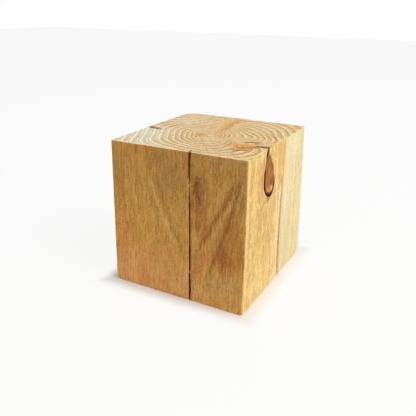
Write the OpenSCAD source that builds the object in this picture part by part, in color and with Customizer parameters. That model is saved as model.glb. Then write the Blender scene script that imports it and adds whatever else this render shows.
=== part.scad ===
// Solid wooden cube: a length of boxed-heart timber sawn to a desk-sized block.
// One piece of wood, with the grain upright, the pith near the middle and the
// checks that open towards it as the wood dries.
// +X is to the right, +Y to the back and +Z up. The front face looks along -Y.

/* [Block] */
// Width of the block, left to right
block_w = 98; // [85:1:125]
// Depth of the block, front to back
block_d = 105; // [90:1:130]
// Height of the block, along the grain
block_h = 101; // [80:1:130]
// How far the saw cuts stray from square
out_of_square = 1; // [0:0.1:2]
// Place of the pith from the left face
pith_x = 45; // [35:1:60]
// Place of the pith from the front face
pith_y = 43; // [35:1:60]

/* [Arrises] */
// How far the upright arris at the front left is eased
front_left_arris = 1.2; // [0.4:0.1:4]
// How far the upright arris at the front right is eased
front_right_arris = 0.8; // [0.4:0.1:4]
// How far the upright arris at the back right is eased
back_right_arris = 1.5; // [0.4:0.1:4]
// How far the wane at the back left reaches along the left face
wane_on_left = 13; // [4:0.5:20]
// How far the wane at the back left reaches along the back face
wane_on_back = 14; // [4:0.5:20]
// What is left of the wane at the foot of the block
wane_at_foot = 0.6; // [0.1:0.05:1]
// Radius of the edges round the head, where the end grain shows
head_ease = 0.5; // [0.2:0.1:3]
// Radius of the edges round the foot
foot_ease = 1; // [0.2:0.1:3]

/* [Worn corners of the foot] */
// Height over which the corners of the foot are worn
wear_h = 5.5; // [4:0.5:12]
// Wear of the front left corner of the foot, along both faces
front_left_wear = 3; // [0:0.5:10]
// Wear of the front right corner of the foot, along both faces
front_right_wear = 1.5; // [0:0.5:10]
// Wear of the back right corner of the foot, along the right face
back_right_wear = 12; // [0:0.5:16]
// Wear of the back right corner of the foot, along the back face
back_right_wear_behind = 8; // [0:0.5:16]

/* [Front check] */
// Place of the check from the left arris of the front face
front_check_x = 59; // [40:0.5:70]
// Width of the check at its mouth
front_check_mouth = 1.1; // [0.5:0.1:2.5]
// Depth of the check from the face towards the pith
front_check_depth = 28; // [10:1:34]
// Wood fibres left whole across the check, measured along it
front_check_bridge = 1.2; // [0.8:0.1:4]

/* [Right check] */
// Place of the check from the front arris of the right face
right_check_y = 58.5; // [54:0.5:75]
// Width of the check at its mouth
right_check_mouth = 1.2; // [0.5:0.1:2.5]
// Depth of the check from the face towards the pith
right_check_depth = 22; // [8:1:30]
// Height that the check has climbed from the foot
right_check_climb = 74; // [40:1:78]

/* [Left check] */
// Place of the check from the front arris of the left face
left_check_y = 46; // [30:0.5:70]
// Width of the check at its mouth
left_check_mouth = 1.7; // [0.5:0.1:2.5]
// Depth of the check from the face towards the pith
left_check_depth = 11; // [6:0.5:24]
// How far the check runs down from the head
left_check_drop = 62; // [30:1:78]

/* [Knot] */
// Place of the knot's middle from the front arris of the right face
knot_y = 35.5; // [28:0.5:40]
// Width of the knot between the limbs of its cleft
knot_w = 17; // [12:0.5:20]
// How far the knot's keel lies below the head
knot_drop = 32; // [24:0.5:44]
// Width of the cleft that the bark left round the knot
cleft_w = 2.2; // [1:0.1:3]
// Depth of the cleft, along the branch
cleft_depth = 11; // [5:0.5:16]
// Climb of the branch as it leaves the trunk, in degrees
branch_climb = 32; // [10:1:50]

/* [Hidden] */

// Corners are counted front left, front right, back right, back left.
corner_side = [[-1, -1], [1, -1], [1, 1], [-1, 1]];
// Where each corner strays from square, in units of out_of_square, [across, back].
head_stray = [[0.7, 0.35], [-0.3, 0.55], [-0.55, -0.9], [-0.7, 0]];
foot_stray = [[0.15, -0.05], [-0.25, -0.95], [0.95, 0.95], [0, 0]];
// Facets of one eased arris and of one eased edge round the ends.
arris_steps = 6;
edge_steps = 3;
// How far a cutting wedge stands proud of the face that it opens.
proud = 2;
// Points that a smooth course puts between two of its named points.
course_steps = 3;

half = [block_w / 2, block_d / 2];
pith = [pith_x, pith_y] - half;

function unit(v) = v / norm(v);
function flat(lists) = [for (list = lists) for (item = list) item];
function mix(a, b, t) = a * (1 - t) + b * t;

// Corner k of the sawn block at height z, before any easing.
function stray(strays, k) = [
    corner_side[k][0] * half[0],
    corner_side[k][1] * half[1]
] + out_of_square * strays[k];
function corner(k, z) = mix(stray(foot_stray, k), stray(head_stray, k), z / block_h);

// Point on the face from corner j to corner k, `across` from corner j, at height z.
function on_face(j, k, across, z) = let (
    from = corner(j, z),
    point = from + across * unit(corner(k, z) - from)
) [point[0], point[1], z];

// --- The sawn block ---------------------------------------------------------

// What is left at height z of the wear at a corner of the foot.
function wear_left(z) = z < wear_h ? pow(1 - z / wear_h, 2) : 0;

// How far corner k is eased along the faces before and after it, at height z.
function easing(k, z) =
    k == 0 ? (front_left_arris + front_left_wear * wear_left(z)) * [1, 1]
    : k == 1 ? (front_right_arris + front_right_wear * wear_left(z)) * [1, 1]
    : k == 2 ? back_right_arris * [1, 1]
        + [back_right_wear, back_right_wear_behind] * wear_left(z)
    : [wane_on_back, wane_on_left] * mix(wane_at_foot, 1, z / block_h);

// A corner of the outline, rounded off between the faces before and after it.
function eased_corner(before, here, after, reach) = let (
    start = here + reach[0] * unit(before - here),
    end = here + reach[1] * unit(after - here)
) [
    for (i = [0:arris_steps]) let (t = i / arris_steps)
        mix(mix(start, here, t), mix(here, end, t), t)
];

// Outline of the block at height z, drawn in by `inset` on every side.
function outline(z, inset) = let (
    corners = [for (k = [0:3]) corner(k, z) - inset * corner_side[k]]
) flat([
    for (k = [0:3])
        eased_corner(corners[(k + 3) % 4], corners[k], corners[(k + 1) % 4], easing(k, z))
]);

// Levels of the block, each [height, inset], with quarter-round edges at both ends.
function edge_levels(radius) = [
    for (i = [0:edge_steps]) let (a = 90 * i / edge_steps)
        [radius * (1 - cos(a)), radius * (1 - sin(a))]
];
foot_levels = edge_levels(foot_ease);
head_levels = edge_levels(head_ease);
levels = concat(
    foot_levels,
    [for (share = [0.5, 1]) [mix(foot_ease, wear_h, share), 0]],
    [[block_h / 2, 0]],
    [for (i = [edge_steps:-1:0]) [block_h - head_levels[i][0], head_levels[i][1]]]
);
rings = [for (level = levels) outline(level[0], level[1])];
ring_size = len(rings[0]);

// The block stands with the middle of its own box over the origin.
all_x = [for (ring = rings) for (p = ring) p[0]];
all_y = [for (ring = rings) for (p = ring) p[1]];
middle = [(min(all_x) + max(all_x)) / 2, (min(all_y) + max(all_y)) / 2];

// A closed skin over rings of points that have the same number of points each.
module skin(points, count) {
    last = len(points) / count - 1;
    foot_cap = [for (i = [0:count - 1]) i];
    head_cap = [for (i = [count - 1:-1:0]) last * count + i];
    sides = [
        for (level = [0:last - 1]) for (i = [0:count - 1]) let (
            a = level * count + i,
            b = level * count + (i + 1) % count
        ) each [[a, a + count, b], [b, a + count, b + count]]
    ];
    polyhedron(points = points, faces = concat([foot_cap, head_cap], sides), convexity = 4);
}

module sawn_block() {
    points = flat([
        for (i = [0:len(levels) - 1]) [for (p = rings[i]) [p[0], p[1], levels[i][0]]]
    ]);
    skin(points, ring_size);
}

// --- Checks and the knot's cleft --------------------------------------------

// A smooth course through named points: a point and all that goes with it may be
// any list of numbers, and the course passes through each of them.
function spline(a, b, c, d, t) = 0.5 * (
    2 * b + t * (c - a) + t * t * (2 * a - 5 * b + 4 * c - d) + t * t * t * (3 * b - 3 * c + d - a)
);
function smooth(course) = let (last = len(course) - 1) concat(
    [
        for (i = [0:last - 1]) for (s = [0:course_steps - 1])
            spline(course[max(i - 1, 0)], course[i], course[i + 1],
                course[min(i + 2, last)], s / course_steps)
    ],
    [course[last]]
);

// Direction of a path of points at point i.
function heading(path, i) = unit(path[min(i + 1, len(path) - 1)] - path[max(i - 1, 0)]);

// Five points of a wedge that opens the face at `mouth`: two proud of the face,
// two part of the way in, where the walls still bulge, and the root.
function wedge(mouth, along, inward, width, depth) = let (
    side = unit(cross(along, inward)) * width / 2,
    flare = 1 + proud / depth,
    waist = 0.55
) [
    mouth - proud * inward - flare * side,
    mouth + waist * depth * inward - 0.62 * side,
    mouth + depth * inward,
    mouth + waist * depth * inward + 0.62 * side,
    mouth - proud * inward + flare * side
];

// Void along a path of mouths, each with its own inward direction, width and depth.
module cleft(mouths, inwards, widths, depths) {
    points = flat([
        for (i = [0:len(mouths) - 1])
            wedge(mouths[i], heading(mouths, i), inwards[i], widths[i], depths[i])
    ]);
    skin(points, 5);
}

// Void of a drying check on the face from corner j to corner k. A course is a list
// of [height share, drift across in mm, share of the mouth, share of the depth].
module check(j, k, across, mouth, depth, course) {
    run = smooth(course);
    mouths = [for (s = run) on_face(j, k, across + s[1], s[0] * block_h)];
    cleft(
        mouths,
        [for (m = mouths) let (to_pith = unit(pith - [m[0], m[1]])) [to_pith[0], to_pith[1], 0]],
        [for (s = run) mouth * s[2]],
        [for (s = run) depth * s[3]]
    );
}

// The front check runs from head to foot, in three lengths with fibres left between.
upper_bridge = 0.79;
lower_bridge = 0.205;
half_bridge = front_check_bridge / 2 / block_h;

module front_checks() {
    lengths = [
        [
            [1.03, 0.1, 0.9, 0.2], [0.97, -0.1, 0.95, 0.28], [0.925, -0.7, 0.85, 0.45],
            [0.86, -0.6, 0.75, 0.6], [upper_bridge + 0.03, -0.5, 0.35, 0.4],
            [upper_bridge + half_bridge, -0.6, 0.2, 0.2]
        ],
        [
            [upper_bridge - half_bridge, -0.2, 0.2, 0.2], [0.75, -0.4, 0.35, 0.6],
            [0.69, 0, 0.6, 0.9], [0.54, 0.1, 0.6, 1], [0.44, 0.7, 0.75, 1],
            [0.4, 0.8, 0.75, 1], [0.3, 0.2, 0.8, 1], [0.24, 0.5, 0.8, 0.9],
            [lower_bridge + half_bridge, 0.4, 0.6, 0.5]
        ],
        [
            [lower_bridge - half_bridge, 0.3, 0.7, 0.5], [0.17, 0.5, 0.95, 0.85],
            [0.1, 0.8, 1, 0.95], [0.03, 0.7, 1, 0.95], [-0.03, 0.7, 1, 0.95]
        ]
    ];
    for (course = lengths)
        check(0, 1, front_check_x, front_check_mouth, front_check_depth, course);
}

// The right check opens at the foot and dies out on its way up.
module right_check() {
    top = right_check_climb / block_h;
    course = [
        [-0.03, 0.3, 1, 1], [0.05, 0.1, 1, 1], [top * 0.15, -0.7, 0.85, 0.95],
        [top * 0.35, -0.6, 0.8, 0.9], [top * 0.55, -0.1, 0.6, 0.75],
        [top * 0.8, 0.6, 0.4, 0.5], [top, 1, 0.15, 0.15]
    ];
    check(1, 2, right_check_y, right_check_mouth, right_check_depth, course);
}

// The left check opens at the head and dies out on its way down.
module left_check() {
    foot = 1 - left_check_drop / block_h;
    course = [
        [1.03, 0, 1, 1], [0.94, 0.2, 0.95, 1], [mix(1, foot, 0.3), -0.4, 0.8, 0.9],
        [mix(1, foot, 0.6), 0.3, 0.6, 0.7], [mix(1, foot, 0.85), 0.1, 0.35, 0.4],
        [foot, 0.3, 0.15, 0.15]
    ];
    check(0, 3, left_check_y, left_check_mouth, left_check_depth, course);
}

// The branch was ringed with bark, which has left a cleft under and beside it: down
// the front side of the knot, round its keel and part of the way up the back side.
// Each point is [across in half widths, drop in knot drops, share of width, of depth].
module knot_cleft() {
    inward = [-cos(branch_climb), 0, -sin(branch_climb)];
    course = smooth([
        [-0.3, -0.3, 1, 1], [-0.42, 0.03, 1.05, 1], [-0.86, 0.25, 0.85, 0.9],
        [-1.02, 0.58, 1, 0.9], [-0.95, 0.79, 0.8, 0.85], [-0.42, 0.93, 0.65, 0.8],
        [0.3, 1.01, 0.65, 0.75], [0.8, 0.93, 0.85, 0.6], [0.98, 0.78, 1, 0.4],
        [0.93, 0.64, 0.4, 0.15]
    ]);
    cleft(
        [
            for (s = course)
                on_face(1, 2, knot_y + s[0] * knot_w / 2, block_h - s[1] * knot_drop)
        ],
        [for (s = course) inward],
        [for (s = course) cleft_w * s[2]],
        [for (s = course) cleft_depth * s[3]]
    );
}

// --- The node ----------------------------------------------------------------

module wooden_cube() {
    color("burlywood")
        translate([-middle[0], -middle[1], 0])
            difference() {
                sawn_block();
                front_checks();
                right_check();
                left_check();
                knot_cleft();
            }
}

wooden_cube();
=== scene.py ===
"""Looks of a solid wooden cube: one length of boxed-heart timber on a pale floor.

The block stands with the middle of its foot over the origin. +X is to its right,
+Y to its back and +Z up, and its front face looks along -Y. Sizes are in
millimetres up to the moment a mesh is made, and in metres from there on.
"""

import logging
import math
from dataclasses import dataclass
from enum import Enum
from typing import Callable, Union

import bpy
import numpy as np
from mathutils import Matrix, Vector
from mathutils.bvhtree import BVHTree


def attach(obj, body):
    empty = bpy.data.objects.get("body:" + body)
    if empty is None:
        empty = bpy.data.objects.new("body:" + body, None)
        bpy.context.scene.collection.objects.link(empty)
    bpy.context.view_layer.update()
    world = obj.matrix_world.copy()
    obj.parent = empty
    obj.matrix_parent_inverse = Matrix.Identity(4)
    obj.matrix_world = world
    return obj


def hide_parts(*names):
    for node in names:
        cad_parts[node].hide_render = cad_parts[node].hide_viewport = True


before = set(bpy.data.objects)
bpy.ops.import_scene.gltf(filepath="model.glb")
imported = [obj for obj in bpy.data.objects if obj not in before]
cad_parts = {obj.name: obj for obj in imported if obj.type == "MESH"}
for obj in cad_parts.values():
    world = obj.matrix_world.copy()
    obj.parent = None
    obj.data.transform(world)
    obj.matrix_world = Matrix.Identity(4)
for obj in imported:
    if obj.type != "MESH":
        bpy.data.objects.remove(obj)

log = logging.getLogger("wooden_cube")

MM = 0.001
NODE = "wooden_cube"
BODY = "root"

Triple = tuple[float, float, float]
Colour = Triple
Number = Union["Wire", np.ndarray, float]


# --- Sizes of the timber ------------------------------------------------------


class Corner(Enum):
    """Upright corners of the block, counted against the clock from the front left."""

    FRONT_LEFT = 0
    FRONT_RIGHT = 1
    BACK_RIGHT = 2
    BACK_LEFT = 3

    def on(self, steps: int) -> "Corner":
        """Returns the corner that lies `steps` further round the block."""
        return Corner((self.value + steps) % 4)


def mix(a: np.ndarray, b: np.ndarray, t: np.ndarray) -> np.ndarray:
    """Returns the point that lies the share `t` of the way from `a` to `b`."""
    return a * (1 - t) + b * t


def unit(v: np.ndarray) -> np.ndarray:
    """Returns vectors of length one along the last axis of `v`."""
    return v / np.linalg.norm(v, axis=-1, keepdims=True)


def distances(line: np.ndarray) -> np.ndarray:
    """Returns how far along a line each of its points lies."""
    return np.concatenate([[0], np.cumsum(np.linalg.norm(np.diff(line, axis=0), axis=1))])


def quads(*corners: np.ndarray) -> list[list[int]]:
    """Returns faces whose four corners have the numbers in four arrays."""
    return np.stack(corners, -1).reshape(-1, 4).tolist()


def band(rows: int, columns: int) -> list[list[int]]:
    """Returns the quads between closed rings of points, ring by ring.

    Args:
        rows: How many rings there are.
        columns: Points in each ring.

    Returns:
        The faces.
    """
    low, c = np.arange(rows - 1)[:, None] * columns, np.arange(columns)
    d = (c + 1) % columns
    return quads(low + c, low + d, low + columns + d, low + columns + c)


@dataclass(frozen=True)
class Block:
    """The squared block, before anything has opened in it. Lengths in mm.

    `arris` is how far the first three corners are eased. `wear_before` and `wear_after`
    are how much further their feet are worn along the faces before and after them. The
    fourth corner has the tree's own waney edge.
    """

    width: float = 98.0
    depth: float = 105.0
    height: float = 101.0
    out_of_square: float = 1.0
    pith: tuple[float, float] = (45.0, 43.0)
    arris: Triple = (1.2, 0.8, 1.5)
    wear_before: Triple = (3.0, 1.5, 12.0)
    wear_after: Triple = (3.0, 1.5, 8.0)
    wear_height: float = 5.5
    wane_on_left: float = 13.0
    wane_on_back: float = 14.0
    wane_at_foot: float = 0.6
    head_ease: float = 0.5
    foot_ease: float = 1.0

    SIDE = np.array([[-1, -1], [1, -1], [1, 1], [-1, 1]], float)
    HEAD_STRAY = np.array([[0.7, 0.35], [-0.3, 0.55], [-0.55, -0.9], [-0.7, 0.0]])
    FOOT_STRAY = np.array([[0.15, -0.05], [-0.25, -0.95], [0.95, 0.95], [0.0, 0.0]])

    @property
    def half(self) -> np.ndarray:
        """Half the width and half the depth."""
        return np.array([self.width, self.depth]) / 2

    def corner(self, k: Corner, z: np.ndarray) -> np.ndarray:
        """Returns the sawn corner at each height.

        Args:
            k: Which corner.
            z: Heights above the foot.

        Returns:
            One point in plan for each height.
        """
        sharp = self.SIDE[k.value] * self.half
        foot = sharp + self.out_of_square * self.FOOT_STRAY[k.value]
        head = sharp + self.out_of_square * self.HEAD_STRAY[k.value]
        return mix(foot, head, (z / self.height)[..., None])

    def on_face(self, j: Corner, k: Corner, across: np.ndarray, z: np.ndarray) -> np.ndarray:
        """Returns points on the face from corner j to corner k.

        Args:
            j: The corner that `across` is measured from.
            k: The corner at the other end of the face.
            across: Distances from corner j, one for each height.
            z: Heights above the foot.

        Returns:
            One point in space for each height.
        """
        start = self.corner(j, z)
        plan = start + across[..., None] * unit(self.corner(k, z) - start)
        return np.concatenate([plan, z[..., None]], axis=-1)

    def easing(self, k: Corner, z: np.ndarray) -> tuple[np.ndarray, np.ndarray]:
        """Returns how far corner k is eased along the faces before and after it.

        Args:
            k: Which corner.
            z: Heights above the foot.

        Returns:
            The reach along the face before it and along the face after it.
        """
        if k is Corner.BACK_LEFT:
            left = self.wane_at_foot + (1 - self.wane_at_foot) * z / self.height
            return self.wane_on_back * left, self.wane_on_left * left
        n = k.value
        wear = np.where(z < self.wear_height, (1 - z / self.wear_height) ** 2, 0.0)
        before, after = self.wear_before[n] * wear, self.wear_after[n] * wear
        return self.arris[n] + before, self.arris[n] + after


@dataclass(frozen=True)
class Weave:
    """How densely the skin of the block is meshed. Spacings and heights in mm.

    Rows are close below `wide_from` and above `wide_to`. The columns of the right face
    crowd about the knot, whose place and reach are shares of that face.
    """

    front_steps: int = 98
    right_steps: int = 120
    arris_steps: int = 4
    wane_steps: int = 10
    edge_steps: int = 3
    wide: float = 1.02
    close: float = 0.68
    wide_from: float = 6.5
    wide_to: float = 66.0
    knot_place: float = 0.33
    knot_reach: float = 0.13
    knot_crowding: float = 0.75
    finer: int = 8

    def corner_steps(self, k: Corner) -> int:
        """Returns the columns of mesh on each half of an eased corner."""
        return self.wane_steps if k is Corner.BACK_LEFT else self.arris_steps


@dataclass
class Skin:
    """Points and faces of one mesh, with points in mm."""

    points: np.ndarray
    faces: list[list[int]]

    def piece(self, name: str, middle: np.ndarray) -> bpy.types.Object:
        """Returns an object of this skin, in metres.

        Args:
            name: Name of the object and its mesh.
            middle: Place in plan, in mm, that comes to lie over the origin.

        Returns:
            The object, at the origin.
        """
        made = bpy.data.meshes.new(name)
        made.from_pydata(((self.points - [*middle, 0.0]) * MM).tolist(), [], self.faces)
        made.validate()
        return linked(name, made)


def linked(name: str, data: bpy.types.ID) -> bpy.types.Object:
    """Returns a new object of some data, linked to the scene.

    Args:
        name: Name of the object.
        data: Its mesh, lamp or camera.

    Returns:
        The object.
    """
    made = bpy.data.objects.new(name, data)
    bpy.context.scene.collection.objects.link(made)
    return made


@dataclass(frozen=True)
class SkinMaker:
    """Meshes the outside of the block as one closed skin of quads."""

    block: Block
    weave: Weave

    def levels(self) -> tuple[np.ndarray, np.ndarray]:
        """Returns the heights of the rows of mesh and how far each is drawn in.

        Returns:
            The heights and the insets, one for each row.
        """
        b, w = self.block, self.weave
        turn = np.radians(90 * np.arange(w.edge_steps + 1) / w.edge_steps)
        up, out = 1 - np.cos(turn), 1 - np.sin(turn)
        stops = (b.foot_ease, w.wide_from, w.wide_to, b.height - b.head_ease)
        rows = []
        for low, high, spacing in zip(stops, stops[1:], (w.close, w.wide, w.close)):
            rows.append(np.linspace(low, high, max(2, round((high - low) / spacing) + 1))[1:])
        plain = np.concatenate(rows)[:-1]
        heights = [b.foot_ease * up, plain, (b.height - b.head_ease * up)[::-1]]
        insets = [b.foot_ease * out, np.zeros_like(plain), (b.head_ease * out)[::-1]]
        return np.concatenate(heights), np.concatenate(insets)

    def straight(self, k: Corner, count: int) -> np.ndarray:
        """Returns shares along the straight part of a side, closer about the knot.

        Args:
            k: The corner that the side starts from.
            count: How many steps the straight part has.

        Returns:
            The shares, from 0 to 1.
        """
        w = self.weave
        t = np.linspace(0, 1, count * w.finer + 1)
        density = np.ones_like(t)
        if k is Corner.FRONT_RIGHT:
            density += w.knot_crowding * np.exp(-(((t - w.knot_place) / w.knot_reach) ** 4))
        total = np.concatenate([[0], np.cumsum((density[1:] + density[:-1]) / 2)])
        return np.interp(np.linspace(0, total[-1], count + 1), total, t)

    def side(self, k: Corner, z: np.ndarray, inset: np.ndarray) -> np.ndarray:
        """Returns the columns of one side, from the middle of corner k to that of the next.

        Args:
            k: The corner that the side starts from.
            z: Heights of the rows.
            inset: How far each row is drawn in.

        Returns:
            Points in plan, by row and column, without the next corner's own column.
        """
        b, w = self.block, self.weave
        drawn = {c: b.corner(c, z) - inset[:, None] * b.SIDE[c.value] for c in Corner}

        def bezier(c: Corner, t: np.ndarray) -> np.ndarray:
            """Returns points of the eased corner c at the shares t.

            Args:
                c: The corner.
                t: Shares of the way round it.

            Returns:
                The points in plan, by row and share.
            """
            before, after = b.easing(c, z)
            here = drawn[c]
            start = here + before[:, None] * unit(drawn[c.on(3)] - here)
            end = here + after[:, None] * unit(drawn[c.on(1)] - here)
            s = t[None, :, None]
            start, here, end = start[:, None], here[:, None], end[:, None]
            return mix(mix(start, here, s), mix(here, end, s), s)

        steps = w.front_steps if k.value % 2 == 0 else w.right_steps
        first, last = w.corner_steps(k), w.corner_steps(k.on(1))
        opening = bezier(k, np.linspace(0.5, 1, first + 1))
        closing = bezier(k.on(1), np.linspace(0, 0.5, last + 1))
        t = self.straight(k, steps - first - last)[None, :, None]
        run = mix(opening[:, -1:], closing[:, :1], t)
        return np.concatenate([opening[:, :-1], run[:, :-1], closing[:, :-1]], axis=1)

    def plan(self, z: np.ndarray, inset: np.ndarray) -> np.ndarray:
        """Returns the points in plan round the block, by row and column."""
        return np.concatenate([self.side(k, z, inset) for k in Corner], axis=1)

    def make(self) -> Skin:
        """Returns the closed skin of the block.

        Returns:
            The skin.
        """
        z, inset = self.levels()
        plan = self.plan(z, inset)
        rows, columns = plan.shape[:2]
        high = np.broadcast_to(z[:, None, None], (rows, columns, 1))
        rings = np.concatenate([plan, high], axis=2)
        foot, head = self.inner(rings[0]), self.inner(rings[-1])
        faces = band(rows, columns)
        faces += [q[::-1] for q in self.end_quads(0, rows * columns)]
        faces += self.end_quads((rows - 1) * columns, rows * columns + len(foot))
        return Skin(np.concatenate([rings.reshape(-1, 3), foot, head]), faces)

    def numbers(self, ring: int, inner: int) -> np.ndarray:
        """Returns the numbers of the points of an end, by column and row.

        Args:
            ring: Number of the first point of the end's ring.
            inner: Number of the first point inside it.

        Returns:
            The numbers, from the front left corner.
        """
        m, n = self.weave.front_steps, self.weave.right_steps
        along, back = np.arange(m + 1), np.arange(n + 1)
        grid = np.empty((m + 1, n + 1), int)
        grid[1:-1, 1:-1] = inner + np.arange((m - 1) * (n - 1)).reshape(n - 1, m - 1).T
        grid[:, 0] = ring + along
        grid[m] = ring + m + back
        grid[:, n] = ring + 2 * m + n - along
        grid[0] = ring + (2 * m + 2 * n - back) % (2 * m + 2 * n)
        return grid

    def end_quads(self, ring: int, inner: int) -> list[list[int]]:
        """Returns the quads of an end of the block, which look up. Takes what `numbers` takes."""
        n = self.numbers(ring, inner).T
        return quads(n[:-1, :-1], n[:-1, 1:], n[1:, 1:], n[1:, :-1])

    def inner(self, ring: np.ndarray) -> np.ndarray:
        """Returns the points inside a ring, spread between its four sides.

        Args:
            ring: Points round the block, from the front left corner.

        Returns:
            The inner points, row by row from the front.
        """
        grid = self.numbers(0, 0)
        lines = [ring[n] for n in (grid[:, 0], grid[:, -1], grid[0], grid[-1])]
        front, rear, left, right = lines
        u_front, u_rear, v_left, v_right = (run / run[-1] for run in map(distances, lines))
        u_mid, v_mid = (u_front + u_rear) / 2, (v_left + v_right) / 2
        u = mix(u_front[:, None], u_rear[:, None], v_mid[None, :])[..., None]
        v = mix(v_left[None, :], v_right[None, :], u_mid[:, None])[..., None]
        ends = mix(mix(front[0], front[-1], u), mix(rear[0], rear[-1], u), v)
        both = mix(front[:, None], rear[:, None], v) + mix(left[None, :], right[None, :], u)
        return (both - ends)[1:-1, 1:-1].transpose(1, 0, 2).reshape(-1, 3)


# --- Grain --------------------------------------------------------------------


class ArraySums:
    """The sums of the figure on arrays of numbers. Graph offers them on shader values."""

    sine, cosine, root, size = np.sin, np.cos, np.sqrt, np.abs
    angle, largest, least = np.arctan2, np.maximum, np.minimum

    @staticmethod
    def rise(low: float, high: float, v: np.ndarray) -> np.ndarray:
        """Returns 0 below `low`, 1 above `high` and a smooth rise between them."""
        t = np.clip((v - low) / (high - low), 0, 1)
        return t * t * (3 - 2 * t)

    @staticmethod
    def soft_least(a: np.ndarray, b: np.ndarray, reach: float) -> np.ndarray:
        """Returns the lesser of two values, rounded where they meet."""
        h = np.maximum(reach - np.abs(a - b), 0) / reach
        return np.minimum(a, b) - h * h * h * reach / 6


Sums = Union[type[ArraySums], "Graph"]


@dataclass(frozen=True)
class Limb:
    """A branch that grew out of the pith and that the rings grew round. Lengths in mm.

    `end` is where its heart meets the face, from the left, the front and the foot.
    """

    end: Triple
    fall: float
    thickness: float
    push_below: float
    push_above: float

    def heading(self, pith: tuple[float, float]) -> Triple:
        """Returns the limb's direction in plan and its length, from the pith.

        Args:
            pith: Place of the pith in plan.

        Returns:
            The two parts of the direction, and the length.
        """
        reach = np.array(self.end[:2]) - np.array(pith)
        length = float(np.hypot(*reach))
        return (*(reach / length).tolist(), length)


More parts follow.
